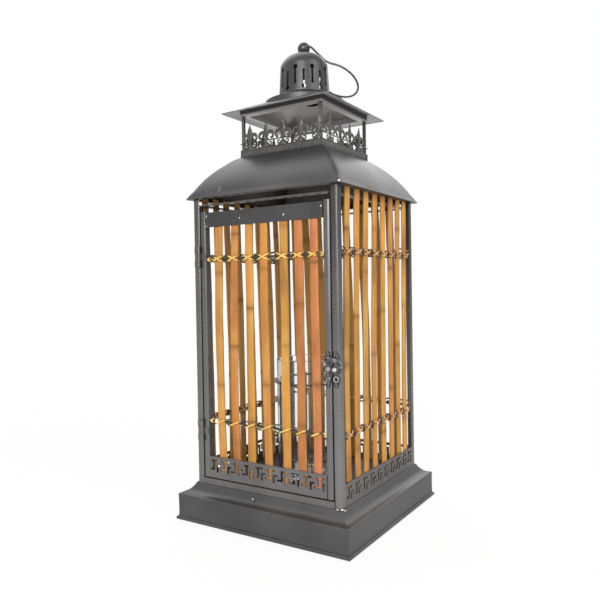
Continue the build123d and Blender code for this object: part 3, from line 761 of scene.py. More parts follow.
@dataclass
class Roof:
    """Convex hipped roof of four sheets soldered along the hips."""
    eave: float = 93.8
    eave_z: float = EAVE_Z
    top: float = 51.8
    top_z: float = ROOF_TOP
    sagitta: float = 5.0
    wall: float = 1.0
    mouth: float = INNER
    throat: float = 45.0
    sharp: float = 150.0
    blunt: float = 34.0
    dent: float = 0.45
    sink: float = 0.35
    wave: float = 70.0
    seam: float = 0.42
    seam_in: float = 0.35
    seam_drop: float = 0.1
    seam_lump: float = 0.14

    def outer(self, count: int) -> Array:
        """Outer section from the eave to the top."""
        return bowed((self.eave, self.eave_z), (self.top, self.top_z), self.sagitta, count)

    def profile(self) -> Array:
        """Closed section: outer sheet, top lip, inner sheet and hem."""
        z, top, w = self.eave_z, self.top_z, self.wall
        skin = self.outer(30)
        skin[0, 1] += 0.3
        inner = bowed((self.top - w, top - w), (self.eave - 1.5, z + w), -self.sagitta, 20)
        edge = [[self.eave - 0.3, z]]
        lip = [[self.throat, top], [self.throat, top - w]]
        return chain(edge, skin, lip, inner, [[self.mouth, z + w], [self.mouth, z]], edge)

    @staticmethod
    def nearness(points: Array) -> Array:
        """Nearness to a hip: 0 in the middle of a side and 1 on the hip."""
        span = np.abs(points[..., :2])
        return span.min(axis=-1) / span.max(axis=-1)

    def soften(self, points: Array) -> Array:
        """Points with the hips rounded: the square plan becomes a superellipse, sharp at eave and top."""
        share = np.clip((points[..., 2] - self.eave_z) / (self.top_z - self.eave_z), 0, 1)
        power = self.sharp - (self.sharp - self.blunt) * np.clip(7 * share * (1 - share), 0, 1)
        pull = (1 + self.nearness(points) ** power) ** (-1 / power)
        return points * joined(pull, pull, 1.0)

    def build(self, finish: Palette) -> None:
        """Makes the sheets and the solder lines on the hips."""
        stock = Stock()
        for points, quads in mitred(self.profile(), 81, 0.85):
            z = points[..., 2]
            high = (z > self.eave_z + 3) & (z < self.top_z - 3)
            dent = np.where(high, self.dent * wobble(points, self.wave, 4.2) - self.sink, 0.0)
            dent = dent * (1 - self.nearness(points) ** 8)
            points[..., :2] *= (1 + dent / reach(points))[..., None]
            stock.add(self.soften(points), quads)
        settle(stock.build("roof_sheets", crease=30.0), finish.metal, "roof_shell")
        hip = self.outer(70)[2:-1]
        out = hip[:, 0] - self.seam_in
        path = self.soften(joined(out, -out, hip[:, 1] - self.seam_drop))
        t = np.linspace(0, 1, len(path))
        solder = Stock()
        for i, side in enumerate(Side):
            radius = self.seam + self.seam_lump * np.sin(37 * t + i) * np.sin(11 * t + 2 * i)
            solder.add(*tube(side.turn(path), radius, sides=8))
        settle(solder.build("roof_hip_seams", crease=60.0), finish.metal)


@dataclass
class Gallery:
    """Cresting of cast fleurs-de-lis on a band with a thin rail."""
    half: float = 51.3
    wall: float = 1.2
    foot: float = ROOF_TOP
    band: float = 7.8
    crest: float = 26.0
    pitch: float = 21.4
    petal: float = 5.6
    lift: float = 7.4
    rail: float = 1.8
    shifts: tuple = (4.0, -11.5)
    top: float = 432.6
    flange: float = 6.0
    roll: float = 0.9
    sunk: float = 0.35

    def fleur(self, x: float) -> list[tuple[Array, Array | float, float]]:
        """Bars of one motif at a place along the strip: path, half-width and relief of each."""
        base = self.foot + self.band
        root = base + self.lift
        t, u = np.linspace(0, 1, 33), np.linspace(0, 1, 25)
        spear = joined(x, root + (base + self.crest - root) * t)
        blade = 0.15 + 3.9 * np.sin(np.pi * t ** 0.8) ** 1.1 * (1 - 0.25 * t)
        stem = joined(x, np.linspace(base - 0.5, root + 2, 17))
        waist = joined(np.linspace(x - 2.9, x + 2.9, 9), root + 0.6)
        bars = [(spear, blade, 0.55), (stem, 1.0 + 1.3 * np.linspace(1, 0, 17) ** 3, 0.4), (waist, 0.95, 0.5)]
        for side in (-1, 1):
            centre = (x + side * (self.petal - 0.4), root + 0.72 * self.petal)
            swing = (200, -62) if side > 0 else (-20, 242)
            petal = arc(centre, self.petal - 1.9, *swing, 25)
            ball = arc((petal[-1, 0] - 0.35 * side, petal[-1, 1] + 0.7), 0.7, 0, 330, 17)
            leaf = bowed((x, base + 6.2), (x + side * 6.4, base + 0.6), side * 1.7, 25)
            curl = arc((x + side * 5.4, base + 3.1), 1.5, 90 - side * 200, 90 + side * 60, 15)
            bars += [(petal, 1.0 + 0.9 * np.sin(np.pi * u ** 0.8), 0.45), (ball, 0.7, 0.4),
                     (leaf, 0.45 + 1.3 * np.sin(np.pi * u) ** 0.8, 0.4), (curl, 0.75, 0.35)]
        return bars

    def strip(self, side: Side, length: float, shift: float) -> Stock:
        """Surfaces of one side's strip.

        Args:
            side: the wall that it stands on.
            length: half its length.
            shift: place of one motif along it.

        Returns:
            The stock of its band, rail, bead and motifs, each laid a hair deeper than the one before.
        """
        front, back = self.half - self.sunk, self.half - self.wall
        base = self.foot + self.band
        ends = np.linspace(-length, length, 41)
        bars = [(joined(ends, self.foot + self.band / 2), self.band / 2, 0.0),
                (joined(ends, base + self.lift - self.rail / 2), self.rail / 3, 0.25),
                (joined(ends, base - 0.7), 0.7, 0.3)]
        count = int(length // self.pitch) + 2
        for i in range(-count, count + 1):
            x = shift + i * self.pitch
            if abs(x) < length + 2.0:
                bars += self.fleur(x)
        stock = Stock()
        for k, (path, half, relief) in enumerate(bars):
            inside = np.abs(path[:, 0]) <= length
            if inside.sum() < 3:
                continue
            width = each(half, len(path))[inside]
            thin = 0.01 * (k % 7)
            points, quads = ribbon(path[inside], width, front - thin, back + thin, 0.22, min(relief, 0.33))
            stock.add(side.turn(points), quads)
        return stock

    def top_frame(self, finish: Palette) -> None:
        """Makes the angle frame under the canopy: a wall with a rolled foot and an inner ledge."""
        half, z, w = self.half, self.top, self.wall
        inner, ledge = half - w, half - w - self.flange
        head = z + 2.0 + (CANOPY_HALF - half) * CANOPY_TAN
        roll = arc((half - self.roll, z + self.roll), self.roll, 0, -90, 8)
        outside = chain([[half, head], [half - 0.35, z + 2.6], [half, z + 1.9]], roll)
        inside = np.array([[inner - 0.5, z], [ledge, z], [ledge, z + w], [inner, z + w], [inner, head],
                           [half, head]])
        # painted light: the lower strip and rolled foot outside take part of the pale colour as a painted
        # highlight, and the inner faces take all of it
        pale = chain([0.0, 0.0], np.full(len(roll) + 1, 0.55), np.ones(5), [0.0])
        stock = Stock()
        for points, quads in mitred(chain(outside, inside), 9):
            stock.add(points, quads, lining=pale[:, None])
        settle(stock.build("gallery_angle_frame", crease=30.0), finish.canopy, "gallery_top_frame")

    def build(self, finish: Palette) -> None:
        """Makes the four strips and the frame over them."""
        self.top_frame(finish)
        for side in Side:
            across = side in (Side.FRONT, Side.BACK)
            length = self.half if across else self.half - self.wall
            stock = self.strip(side, length, self.shifts[0 if across else 1])
            node = f"cresting_{side.name.lower()}"
            settle(stock.build(node + "_fleurs", crease=50.0), finish.iron, node)


@dataclass
class Canopy:
    """Thin pyramid canopy with a round vent and an underside painted paler as painted light."""
    half: float = CANOPY_HALF
    edge_z: float = 434.1
    sheet: float = 1.0808
    vent: float = 22.0
    rows: int = 25
    columns: int = 160
    dent: float = 0.25
    wave: float = 60.0

    def build(self, finish: Palette) -> None:
        """Makes the canopy: each row is a mix of the vent's circle and the edge's square."""
        n, count = self.rows, self.columns
        out = np.linspace(0, 1, n)
        share = chain(out, out[::-1], out[:1])
        drop = chain(np.zeros(n), np.full(n, self.sheet), [0.0])
        # painted light: the underside rows take the pale colour, the first of them in part
        lining = chain(np.zeros(n), [0.4], np.ones(n - 1), [0.0])
        a = 2 * math.pi * (np.arange(count) + 0.5) / count - math.pi / 4 - math.pi / count
        circle = joined(np.cos(a), np.sin(a))
        square = circle / np.abs(circle).max(axis=-1, keepdims=True)
        t = share[:, None, None]
        flat = (1 - t) * self.vent * circle + t * self.half * square
        x, y = flat[..., 0], flat[..., 1]
        z = self.edge_z + self.sheet + (self.half - reach(flat)) * CANOPY_TAN - drop[:, None]
        z = z + self.dent * wobble(joined(x, y, 0.0), self.wave, 2.3) * (1 - share[:, None])
        stock = Stock().add(joined(x, y, z), grid_quads(len(share), count, close_cols=True),
                            lining=lining[:, None])
        settle(stock.build("canopy_sheet", crease=20.0), finish.canopy, "canopy")


@dataclass
class Chimney:
    """Spun chimney with a flared foot, keyhole vents and a domed crown."""
    foot_r: float = 28.0
    neck_r: float = 26.4
    foot_z: float = 457.44
    neck_z: float = 486.94
    dome: float = 18.0
    land: float = 9.0
    wall: float = 1.2
    skirt_r: float = 44.0
    skirt_z: float = 450.0
    hem: float = 6.0
    dish: float = 1.2
    canopy_z: float = 435.18
    bite: float = 0.35
    vents: int = 9
    phase: float = -59.5
    hole_r: float = 2.4
    hole_gap: float = 25.0
    small_r: float = 1.5
    small_gap: float = 42.0
    length: float = 16.8
    low_vent: float = 4.0
    high_vent: float = 25.5

    def profile(self) -> Array:
        """Closed section: skirt, wall and dome outside, then the inner skin back to the skirt's edge."""
        w, r, z = self.wall, self.skirt_r, self.skirt_z
        limit = math.degrees(math.acos(self.land / self.neck_r))
        a = np.radians(np.linspace(0, limit, 22))
        flare = bowed((r, z), (self.foot_r + 0.4, self.foot_z - 0.4), -self.dish, 16)
        wall = joined(np.linspace(self.foot_r, self.neck_r, 12), np.linspace(self.foot_z, self.neck_z, 12))
        dome = joined(self.neck_r * np.cos(a), self.neck_z + self.dome * np.sin(a))[1:]
        crown = dome[-1, 1]
        inside = joined((self.neck_r - w) * np.cos(a), self.neck_z + (self.dome - w) * np.sin(a))[::-1]
        foot = bowed((self.foot_r - w, self.foot_z - 0.6), (r - w, z - w), self.dish, 10)
        edge = [[r, z - self.hem]]
        return chain(edge, flare, wall, dome, [[0.0, crown], [0.0, crown - w]], inside,
                     [[self.foot_r - w, self.foot_z]], foot, [[r - w, z - self.hem]], edge)

    def cutter(self) -> bpy.types.Object:
        """Radial bars of keyhole section, one for each vent, low and high in turn."""
        stock = Stock()
        hole = arc((0.0, 0.0), self.hole_r, 90 + self.hole_gap, 450 - self.hole_gap, 17)
        end = arc((0.0, self.length), self.small_r, self.small_gap - 90, 270 - self.small_gap, 11)
        for i in range(2 * self.vents):
            rise, up = (self.low_vent, 1.0) if i % 2 == 0 else (self.high_vent, -1.0)
            outline = chain(hole, end)
            outline[:, 1] = self.foot_z + rise + up * outline[:, 1]
            a = math.radians(self.phase + 180.0 * i / self.vents)
            radial = np.array([math.cos(a), math.sin(a)])
            tangent = np.array([-radial[1], radial[0]])
            rings = [chain(radial * r + outline[:, :1] * tangent, outline[:, 1:], axis=1)
                     for r in (self.neck_r - 8.0, self.foot_r + 4.0)]
            stock.add(*closed(np.stack(rings)))
        return stock.build("vent_cutter", crease=30.0)

    def build(self, finish: Palette) -> None:
        """Makes the chimney, its foot fitted to the canopy, and cuts its vents."""
        points, quads = turned(self.profile(), 144)
        z = points[..., 2]
        low = z < self.skirt_z - self.hem + 1.0
        seat = self.canopy_z + (CANOPY_HALF - reach(points)) * CANOPY_TAN - self.bite
        skirt = ~low & (z < self.foot_z - 0.8)
        points[..., 2] = np.where(low, seat, np.where(skirt, np.maximum(z, seat), z))
        piece = Stock().add(points, quads).build("chimney_spun")
        settle(cut_out(piece, self.cutter(), crease=32.0), finish.metal, "chimney_skirt", "chimney",
               "chimney_dome")


@dataclass
class Finial:
    """Ball on a collar and the wire bail that hangs in its cross hole."""
    crown: float = 503.86
    centre: float = 510.542
    ball: float = 6.9
    collar_r: float = 8.2
    wire: float = 1.15
    play: float = 0.12
    turn: float = -22.4
    lean: float = 30.6
    clear: float = 1.0
    bend: float = 3.2
    flare: float = 14.0
    ring: float = 26.8
    drop: float = 52.8

    def axes(self) -> tuple[Array, Array, Array]:
        """Directions of the bail's plane: along its hinge, towards its grip, and across it."""
        t, l = math.radians(self.turn), math.radians(self.lean)
        x = np.array([math.cos(t), math.sin(t), 0.0])
        y = np.array([-math.sin(t) * math.cos(l), math.cos(t) * math.cos(l), -math.sin(l)])
        return x, y, np.cross(x, y)

    def bail_path(self) -> Array:
        """Line of the bail in its plane: end, bend, leg, flare and grip, then their mirror image."""
        out = self.ball + self.clear
        leg = out + self.bend
        low = self.drop - math.sqrt((self.ring + self.flare) ** 2 - (leg + self.flare) ** 2)
        face = math.degrees(math.atan2(low - self.drop, leg + self.flare))
        half = chain(
            joined(np.linspace(0.6, out, 8)[:-1], 0.0),
            arc((out, self.bend), self.bend, -90, 0, 12),
            joined(leg, np.linspace(self.bend, low, 6)[1:-1]),
            arc((leg + self.flare, low), self.flare, 180, 180 + face, 14),
            arc((0.0, self.drop), self.ring, face, 90, 60)[1:])
        return chain(half, half[::-1][1:] * np.array([-1.0, 1.0]))

    def build(self, finish: Palette) -> None:
        """Makes the ball with its cross hole, and the wire."""
        x, y, n = self.axes()
        middle = np.array([0, 0, self.centre])
        ball = arc((0.0, self.centre), self.ball, -46, 90, 40)
        ball[-1, 0] = 0.0
        r, c = self.collar_r, self.crown
        collar = np.array([[0.0, c - 0.4], [r, c - 0.4], [r, c + 0.5], [r - 0.5, c + 1.0], [6.0, c + 1.2],
                           [5.2, c + 1.6]])
        piece = Stock().add(*turned(chain(collar, ball), 72)).build("finial_ball")
        line = middle + np.linspace(-12, 12, 3)[:, None] * x
        hole = Stock().add(*tube(line, self.wire + self.play, 24, tuple(n))).build("bail_hole_cutter")
        # the ball takes the darker, shaded copy of the bar pewter
        settle(cut_out(piece, hole, crease=40.0), finish.post, "finial")
        flat = self.bail_path()
        wire = Stock().add(*tube(middle + flat[:, :1] * x + flat[:, 1:] * y, self.wire, 16, tuple(n)))
        settle(wire.build("bail_wire", crease=50.0), finish.wire, "bail_handle", body=Body.BAIL,
               slot="wire_steel")


@dataclass
class CandleGlass:
    """Clear cup and the wire ring on three legs that holds it."""
    deck: float = DECK
    radius: float = 36.0
    height: float = 129.5
    wall: float = 2.2
    base: float = 6.0
    heel: float = 2.6
    wire: float = 1.2
    gap: float = 0.6
    ring_z: float = 104.0
    turn: float = -112.0
    foot: float = 9.0
    bend: float = 3.2
    tail: float = 5.0

    def cup(self) -> Array:
        """Section of the cup, from the middle of its foot round its lip to the middle of its floor."""
        z, r, w, f = self.deck, self.radius, self.wall, self.heel
        top = z + self.height
        return chain(
            [[0.0, z + 0.6], [24.0, z + 0.5], [30.0, z]], arc((r - f, z + f), f, -90, 0, 9),
            [[r, z + 40.0], [r, top - w]], arc((r - w / 2, top - w / 2), w / 2, 0, 180, 13),
            [[r - w, z + 60.0]], arc((r - w - 3, z + self.base + 3), 3.0, 0, -90, 8), [[0.0, z + self.base]])

    def build(self, finish: Palette) -> None:
        """Makes the cup with a rounded foot and lip, and its holder."""
        cup = Stock().add(*turned(self.cup(), 96))
        settle(cup.build("glass_cup"), finish.glass, "candle_glass", body=Body.GLASS, slot="clear_glass")
        z = self.deck
        ring_r = self.radius + self.gap + self.wire
        level = z + self.ring_z
        a = around(120)
        ring = joined(ring_r * np.cos(a), ring_r * np.sin(a), level)
        holder = Stock().add(*tube(ring, self.wire * 0.92, sides=12, loop=True))
        leg_r = ring_r + self.wire
        down = chain(
            joined(leg_r, np.linspace(level + 2.4, z + 4.5, 12)),
            arc((leg_r + self.bend, z + 4.3), self.bend, 180, 270, 9)[1:], [[leg_r + self.foot, z + 1.1]])
        for i in range(3):
            t = math.radians(self.turn + 120 * i)
            spoke = joined(down[:, 0] * math.cos(t), down[:, 0] * math.sin(t), down[:, 1])
            holder.add(*tube(spoke, self.wire * 0.9, 12, (-math.sin(t), math.cos(t), 0.0)))
        t = math.radians(self.turn - 60)
        hook = np.linspace(ring_r, ring_r + self.tail, 6)
        holder.add(*tube(joined(hook * math.cos(t), hook * math.sin(t), level), self.wire * 0.8, sides=10))
        settle(holder.build("glass_ring_and_legs", crease=50.0), finish.wire, "glass_holder",
               slot="wire_steel")


@dataclass
class SlatPanel:
    """One wall's bamboo slats and raffia lashings."""
    side: Side
    slats: tuple
    tones: tuple
    panel: float
    foot: float
    head: float
    lashings: tuple
    end: float
    seed: float
    width: float = 9.6
    face: float = 86.6
    thick: float = 2.6
    crown: float = 0.5
    strand: float = 0.75
    clear: float = 0.8
    slope: float = 27.0
    tilt: float = 2.2
    knot: float = 2.6
    knot_gap: float = 0.42
    band: float = 1.0
    stain: float = 5.0
    steps: int = 16

    def place(self, slat: tuple, share: Array | float) -> Array | float:
        """Middle of a slat across its panel, at a share of its height."""
        foot, head, bow = slat
        return self.panel * (foot + (head - foot) * share + 4 * bow * share * (1 - share))

    def middles(self, level: float) -> Array:
        """Middle of every slat across the panel, at a height."""
        share = (level - self.foot) / (self.head - self.foot)
        return np.array([self.place(slat, share) for slat in self.slats])

    def section(self) -> tuple[Array, Array]:
        """Rounded section of a slat: offsets across it and depths behind its face, front first.

        Returns:
            Points (n, 2) of offset and depth, and 1 on the points of the inner side.
        """
        h, c, t = self.width / 2, self.crown, self.thick
        x = np.linspace(-1, 1, 9)
        side = np.array([[h, c + 0.5], [h, t - 0.4]])
        loop = chain(joined(x * (h - 0.3), c * x ** 2), side, joined(x[::-1] * (h - 0.35), t),
                     side[::-1] * np.array([-1.0, 1.0]))
        inner = chain(np.zeros(9), [0.3, 0.8], np.ones(9), [0.8, 0.3])
        return loop, inner

    def add_slat(self, stock: Stock, index: int) -> None:
        """Adds one slat: its section carried up a bowed line, swollen at its nodes.

        Args:
            stock: where its surface goes.
            index: which slat of the panel.
        """
        t = np.linspace(0, 1, 121)
        tall = self.head - self.foot
        key = self.seed + 1.9 * index
        middle = self.place(self.slats[index], t)
        middle = middle + 0.35 * np.sin(7.0 * t + key) + 0.2 * np.sin(17.0 * t + 2 * key)
        knots = 0.1 + self.knot_gap * (0.618 * 3.7 * key % 1.0) + self.knot_gap * np.arange(2)
        near = np.abs(t[:, None] - knots[None, :]).min(axis=1) * tall
        swell = peak(near, self.knot)
        band = peak(near, self.band) + 0.45 * peak(near, self.stain)
        band = np.clip(band, 0, 1) * (0.45 + 0.4 * math.sin(5.3 * key) ** 2)
        loop, inner = self.section()
        wide = 1.0 + 0.045 * swell + 0.03 * np.sin(9.0 * t + 1.3 * key) - 0.04
        x = middle[:, None] + loop[None, :, 0] * wide[:, None]
        depth = loop[None, :, 1] + 0.12 - 0.10 * swell[:, None] * (loop[None, :, 1] < 1.0)
        points, quads = closed(joined(x, -(self.face - depth), (self.foot + tall * t)[:, None]))
        tone = self.tones[index] + 0.05 * np.sin(4.0 * np.linspace(0, 1, len(points)) + key)
        stock.add(self.side.turn(points), quads, tone=np.clip(tone, 0, 1)[:, None],
                  band=ended(band)[:, None], inner=inner)

    def strand_path(self, level: float, first: int, lean: int) -> tuple[Array, Array]:
        """Line of one strand: in front of one slat and behind the next, crossing each at a slope.

        Args:
            level: height of the lashing.
            first: -1 where it starts in front, 1 where it starts behind.
            lean: 1 where it rises as it crosses a slat's front, -1 where it falls.

        Returns:
            Points (n, 3) in the front wall, and how deep in a gap each lies, from 0 to 1.
        """
        stops = chain([0.4 - self.end], self.middles(level), [self.end - 0.4])
        signs = first * (-1.0) ** np.arange(len(self.slats))
        swing = self.thick / 2 + 2 * self.strand + self.clear - 0.5 + 0.5 * lean
        y = chain([0.0], signs * swing, [0.0])
        t = np.arange(self.steps) / self.steps
        lengths = np.diff(stops)[:, None]
        ease = (1 - np.cos(math.pi * t)) / 2
        xs = stops[:-1, None] + lengths * t
        ys = y[:-1, None] + np.diff(y)[:, None] * ease
        slope = lean * math.tan(math.radians(self.slope))
        turns = chain([-signs[0]], signs)[:, None]
        zs = level - turns * slope * lengths * 0.33 * (1 - np.abs(2 * t - 1) ** 1.4)
        mid = -(self.face - self.thick / 2)
        path = joined(xs, mid + ys, zs).reshape(-1, 3)
        gap = np.clip(1.9 * np.sin(math.pi * np.tile(t, len(lengths))) ** 2 - 0.75, 0, 1)
        return chain(path, [[stops[-1], mid, level]]), chain(gap, [0.5])

    def add_core(self, stock: Stock, level: float, tilt: float) -> None:
        """Adds the strand behind a lashing, dark all over with painted shade: thick in the gaps and hidden
        inside the slats.

        Args:
            stock: where its surface goes.
            level: height of the lashing.
            tilt: how far it falls across each gap.
        """
        stops = self.middles(level)
        gaps = len(stops) - 1
        t = np.arange(self.steps) / self.steps
        x = (stops[:-1, None] + np.diff(stops)[:, None] * t).ravel()
        share = np.tile(t, gaps)
        swell = np.sin(math.pi * share) ** 2
        key = np.repeat(np.arange(gaps), self.steps) + self.seed
        z = level + tilt * np.cos(math.pi * share) * swell ** 0.5 + 0.4 * np.sin(5.1 * key) * swell
        radius = 0.3 + (1.2 + 0.35 * np.sin(3.3 * key)) * swell
        path = joined(x, -(self.face - self.thick / 2), z)
        points, quads = tube(path, radius, sides=10, lobes=2, depth=0.25, twist=0.3)
        # painted shade over the whole strand
        stock.add(self.side.turn(points), quads, shade=1.0)

    def add_lashing(self, stock: Stock, level: float, pairs: tuple, tilt: float) -> None:
        """Adds the twined strands of one lashing, which cross on each slat and darken in the gaps with
        painted shade, and the strand behind them.

        Args:
            stock: where its surfaces go.
            level: its height.
            pairs: lean of each twined pair, 1 rising or -1 falling across a slat's front.
            tilt: how far the core falls across each gap.
        """
        for lean in pairs:
            for first in (-1, 1):
                path, gap = self.strand_path(level, first, lean)
                wave = 1 + 0.16 * np.sin(np.linspace(0, 60, len(path)) + self.seed)
                points, quads = tube(path, self.strand * wave, sides=10, lobes=3, depth=0.2, twist=0.22)
                # painted shade: each strand darkens where it passes through a gap
                stock.add(self.side.turn(points), quads, shade=ended(gap)[:, None])
        self.add_core(stock, level, tilt)

    def build(self, finish: Palette) -> None:
        """Makes the slats and the lashings of this wall, those of the door in a paler straw."""
        side, door = self.side, self.side is Side.FRONT
        stock = Stock()
        for index in range(len(self.slats)):
            self.add_slat(stock, index)
        name = f"{side.panel}_slats"
        settle(stock.build(name + "_bamboo", crease=50.0), finish.bamboo, name, body=side.body, slot="bamboo")
        ties = Stock()
        upper, lower = self.lashings
        self.add_lashing(ties, upper, (1, -1), 0.0)
        self.add_lashing(ties, lower, (1,) if door else (1, -1), self.tilt)
        name = f"{side.panel}_lashings"
        settle(ties.build(name + "_raffia", crease=60.0), finish.straw if door else finish.brown_straw, name,
               body=side.body, slot="raffia")


@dataclass
class Latch:
    """Lobed latch plates, the hook on its pivot, and a rivet."""
    face: float = FACE
    plate: float = 0.8
    lobe: float = 4.2
    reach: float = 9.2
    door_x: float = 75.5
    post_x: float = 84.25
    level: float = 169.0
    hook_gap: float = 0.3
    hook_t: float = 1.4
    bore: float = 1.7
    arm: float = 6.0
    arm_spots: tuple = (0.0, 0.3, 0.55, 0.66, 0.76, 1.0)
    arm_widths: tuple = (0.85, 1.0, 0.8, 0.62, 1.0, 0.02)
    fall: float = 0.9
    bend: float = 5.7
    span: float = 9.4
    pivot: float = 1.6
    pivot_head: float = 2.7
    pivot_deep: float = 3.9
    roll_at: tuple = (1.9, 0.35)
    roll: float = 0.45
    rivet: float = 0.95
    relief_depth: float = 0.55

    def plate_half(self, z: Array) -> Array:
        """Half-width of a plate at a height: the widest of three lobes, a spine and two leaf tips."""
        r, d = self.lobe, self.reach
        lobes = [np.sqrt(np.maximum((k * r) ** 2 - (z - c) ** 2, 0.0))
                 for c, k in ((d, 1.0), (0.0, 1.08), (-d, 1.0))]
        leaf = 0.66 * r * np.sqrt(np.maximum(1 - ((np.abs(z) - d - 0.85 * r) / (1.1 * r)) ** 2, 0.0))
        spine = np.where(np.abs(z) < d, 2.2, 0.0)
        return np.maximum.reduce([*lobes, leaf, spine]) + 0.05

    def relief(self, x: Array, z: Array, half: Array, eyes: tuple) -> tuple[Array, Array]:
        """Pressed pattern of a plate: how deep each point lies, which also sets its painted shade, and its
        painted highlight.

        Args:
            x: offsets from the plate's spine.
            z: heights over the stud.
            half: half-width of the plate at each point.
            eyes: height and size of each pressed eye.

        Returns:
            Depth from 0 to 1, from the turned-down rim, the eyes and the veins of the leaves, which also
            darkens them as painted shade, and a painted highlight from 0 to 1, on a line inside the rim and a
            ring round each eye.
        """
        inset = half - np.abs(x)
        depth = np.exp(-inset ** 4)
        painted_highlight = 0.5 * peak(inset - 1.75, 0.45)
        for level, size in eyes:
            far = np.hypot(x, z - level)
            near = far < 2.9 * size
            depth = np.where(near, 1 / (1 + (far / size) ** 8), depth)
            depth = np.maximum(depth, 0.9 * peak(far - 2.75 * size, 0.4))
            ring = peak(far - 1.85 * size, 0.55 * size)
            painted_highlight = np.where(near, ring, painted_highlight)
        vein = np.abs(z) - self.reach - self.lobe
        rib = peak(np.abs(x) - 0.5 * np.maximum(vein, 0.0), 0.35) * (vein > 0)
        return np.maximum(depth, 0.8 * rib), painted_highlight * (1 - 0.7 * rib)

    def plate_stock(self, x0: float, eyes: tuple) -> Stock:
        """Surface of one plate: a grid across its half-width, pressed on its outer face, flat on the inner.

        Args:
            x0: place of its spine.
            eyes: height and size of each pressed eye.

        Returns:
            The stock of the plate.
        """
        tip = self.reach + 1.95 * self.lobe - 0.02
        z, u = np.meshgrid(np.linspace(-tip, tip, 181), np.linspace(-1, 1, 41), indexing="ij")
        half = self.plate_half(z)
        depth, painted_highlight = self.relief(u * half, z, half, eyes)
        front = self.face + self.plate - self.relief_depth * depth
        out = joined(x0 + u * half, -front, self.level + z)
        rim = joined(x0 + u * half, -self.face, self.level + z)
        points, quads = closed(chain(out, rim[:, ::-1], axis=1))
        # painted highlight on the crest lines, and painted shade in the recesses and over the whole edge and
        # back, which darkens the plate's outline
        return Stock().add(points, quads,
                           lining=ended(chain(painted_highlight, np.zeros_like(painted_highlight), axis=1)),
                           pit=ended(chain(depth, np.ones_like(depth), axis=1)))

    def build(self, finish: Palette) -> None:
        """Makes the plates, the hook, its pivot and the rivet."""
        front = self.face + self.plate
        d = self.reach
        for x, node, body, eyes in (
                (self.door_x, "latch_plate", Body.DOOR, ((0.0, 1.15), (-d, 0.95))),
                (self.post_x, "catch_plate", Body.FRAME, ((d, 0.8), (0.0, 0.9), (-d, 1.35)))):
            piece = self.plate_stock(x, eyes).build(f"{node}_lobed", crease=35.0)
            settle(piece, finish.latch, node, body=body, slot="latch_metal")
        self.hook(finish, front + self.hook_gap)
        self.eyelet(finish, front + 2 * self.hook_gap + self.hook_t)
        a = np.radians(np.linspace(0, 90, 10))
        dome = joined(self.rivet * np.cos(a), 0.5 * self.rivet * np.sin(a))
        points, quads = turned(chain([[0.0, -0.7], [self.rivet, -0.7]], dome), 28)
        rivet = Stock().add(self.facing(points, self.level, front - 0.3), quads)
        settle(rivet.build("latch_rivet"), finish.solder, body=Body.DOOR, slot="latch_metal")

    def facing(self, points: Array, z: float, depth: float) -> Array:
        """A turned shape stood on the door's plate at a height, its axis along -Y, its foot at a depth."""
        return joined(self.door_x + points[..., 0], -depth - points[..., 2], z + points[..., 1])

    def eyelet(self, finish: Palette, depth: float) -> None:
        """Makes the tubular pivot: a rolled ring with a painted highlight, round a bore and shank darkened as
        painted shade.

        Args:
            finish: the finishes.
            depth: distance of the back of its head from the axis.
        """
        head, shank, low = self.pivot_head, self.pivot, -self.pivot_deep
        foot = [[0.0, low], [shank, low], [shank, 0.0], [head, 0.0], [head, 0.3]]
        roll = arc(self.roll_at, self.roll, 0, 180, 9)
        profile = chain(foot, roll, [[1.2, -0.4], [0.0, -0.5]])
        row = np.arange(len(profile))
        first, last = len(foot), len(foot) + len(roll) - 1
        # painted highlight on the roll, painted shade in the bore and, less, on the shank
        pale = np.where((row >= first) & (row < last), 0.35, 0.0)
        dark = np.where(row > last, 1.0, np.where(row < first, 0.7, 0.0))
        points, quads = turned(profile, 36)
        stock = Stock().add(self.facing(points, self.level + self.reach, depth), quads, lining=pale[:, None],
                            pit=dark[:, None])
        settle(stock.build("latch_eyelet"), finish.latch, "latch_pivot", body=Body.DOOR, slot="latch_metal")

    def hook(self, finish: Palette, back: float) -> None:
        """Makes the hook: an eye on the pivot, a broad arm with two chevrons and a barbed end turned down.

        Args:
            finish: the finishes.
            back: distance of its inner face from the axis.
        """
        front = back + self.hook_t - 0.4
        top = self.level + self.reach
        low = top - self.fall
        end = self.door_x + self.span
        eye = arc((self.door_x, top), (self.lobe + self.bore) / 2, 0, 360, 41)
        run = joined(np.linspace(self.door_x + self.lobe - 1, end, 12), np.linspace(top, low, 12))
        line = chain(run, arc((end, low - self.bend), self.bend, 90, -32, 33)[1:])
        t = np.linspace(0, 1, len(line))
        half = np.interp(t, self.arm_spots, np.array(self.arm_widths) * self.arm / 2)
        # painted highlight on the barb near the end of the arm
        painted_tip_highlight = 0.8 * peak(t - 0.82, 0.07)
        # painted shade along the edges and back of each bar, and a painted highlight along its crowned middle
        edge = np.array([1, 1, 1, 1, 1, 0.25, 0, 0.25, 1])
        crest = np.array([0, 0, 0, 0, 0, 0.04, 0.1, 0.04, 0])
        stock = Stock()
        for path, width, lift, tip in ((eye, (self.lobe - self.bore) / 2, 0.0, np.zeros(len(eye))),
                                       (line, half, 0.01, painted_tip_highlight)):
            points, quads = ribbon(path, width, front - lift, back + lift, 0.5, 0.4)
            pale = np.maximum(crest, ended(tip)[:, None] * (crest > 0))
            stock.add(points, quads, lining=pale, pit=edge)
        for x in (end - 1.6, end + 0.2):
            chevron = np.array([[x - 1.0, low + 1.9], [x + 0.5, low + 0.1], [x + 0.4, low - 0.1],
                                [x - 1.1, low - 1.8]])
            # painted highlight over the chevrons
            stock.add(*ribbon(chevron, 0.3, front + 0.45, front - 0.3, 0.1, 0.05), lining=0.8, pit=0.0)
        settle(stock.build("latch_hook_bent", crease=35.0), finish.latch, "latch_hook", body=Body.LATCH,
               slot="latch_metal")


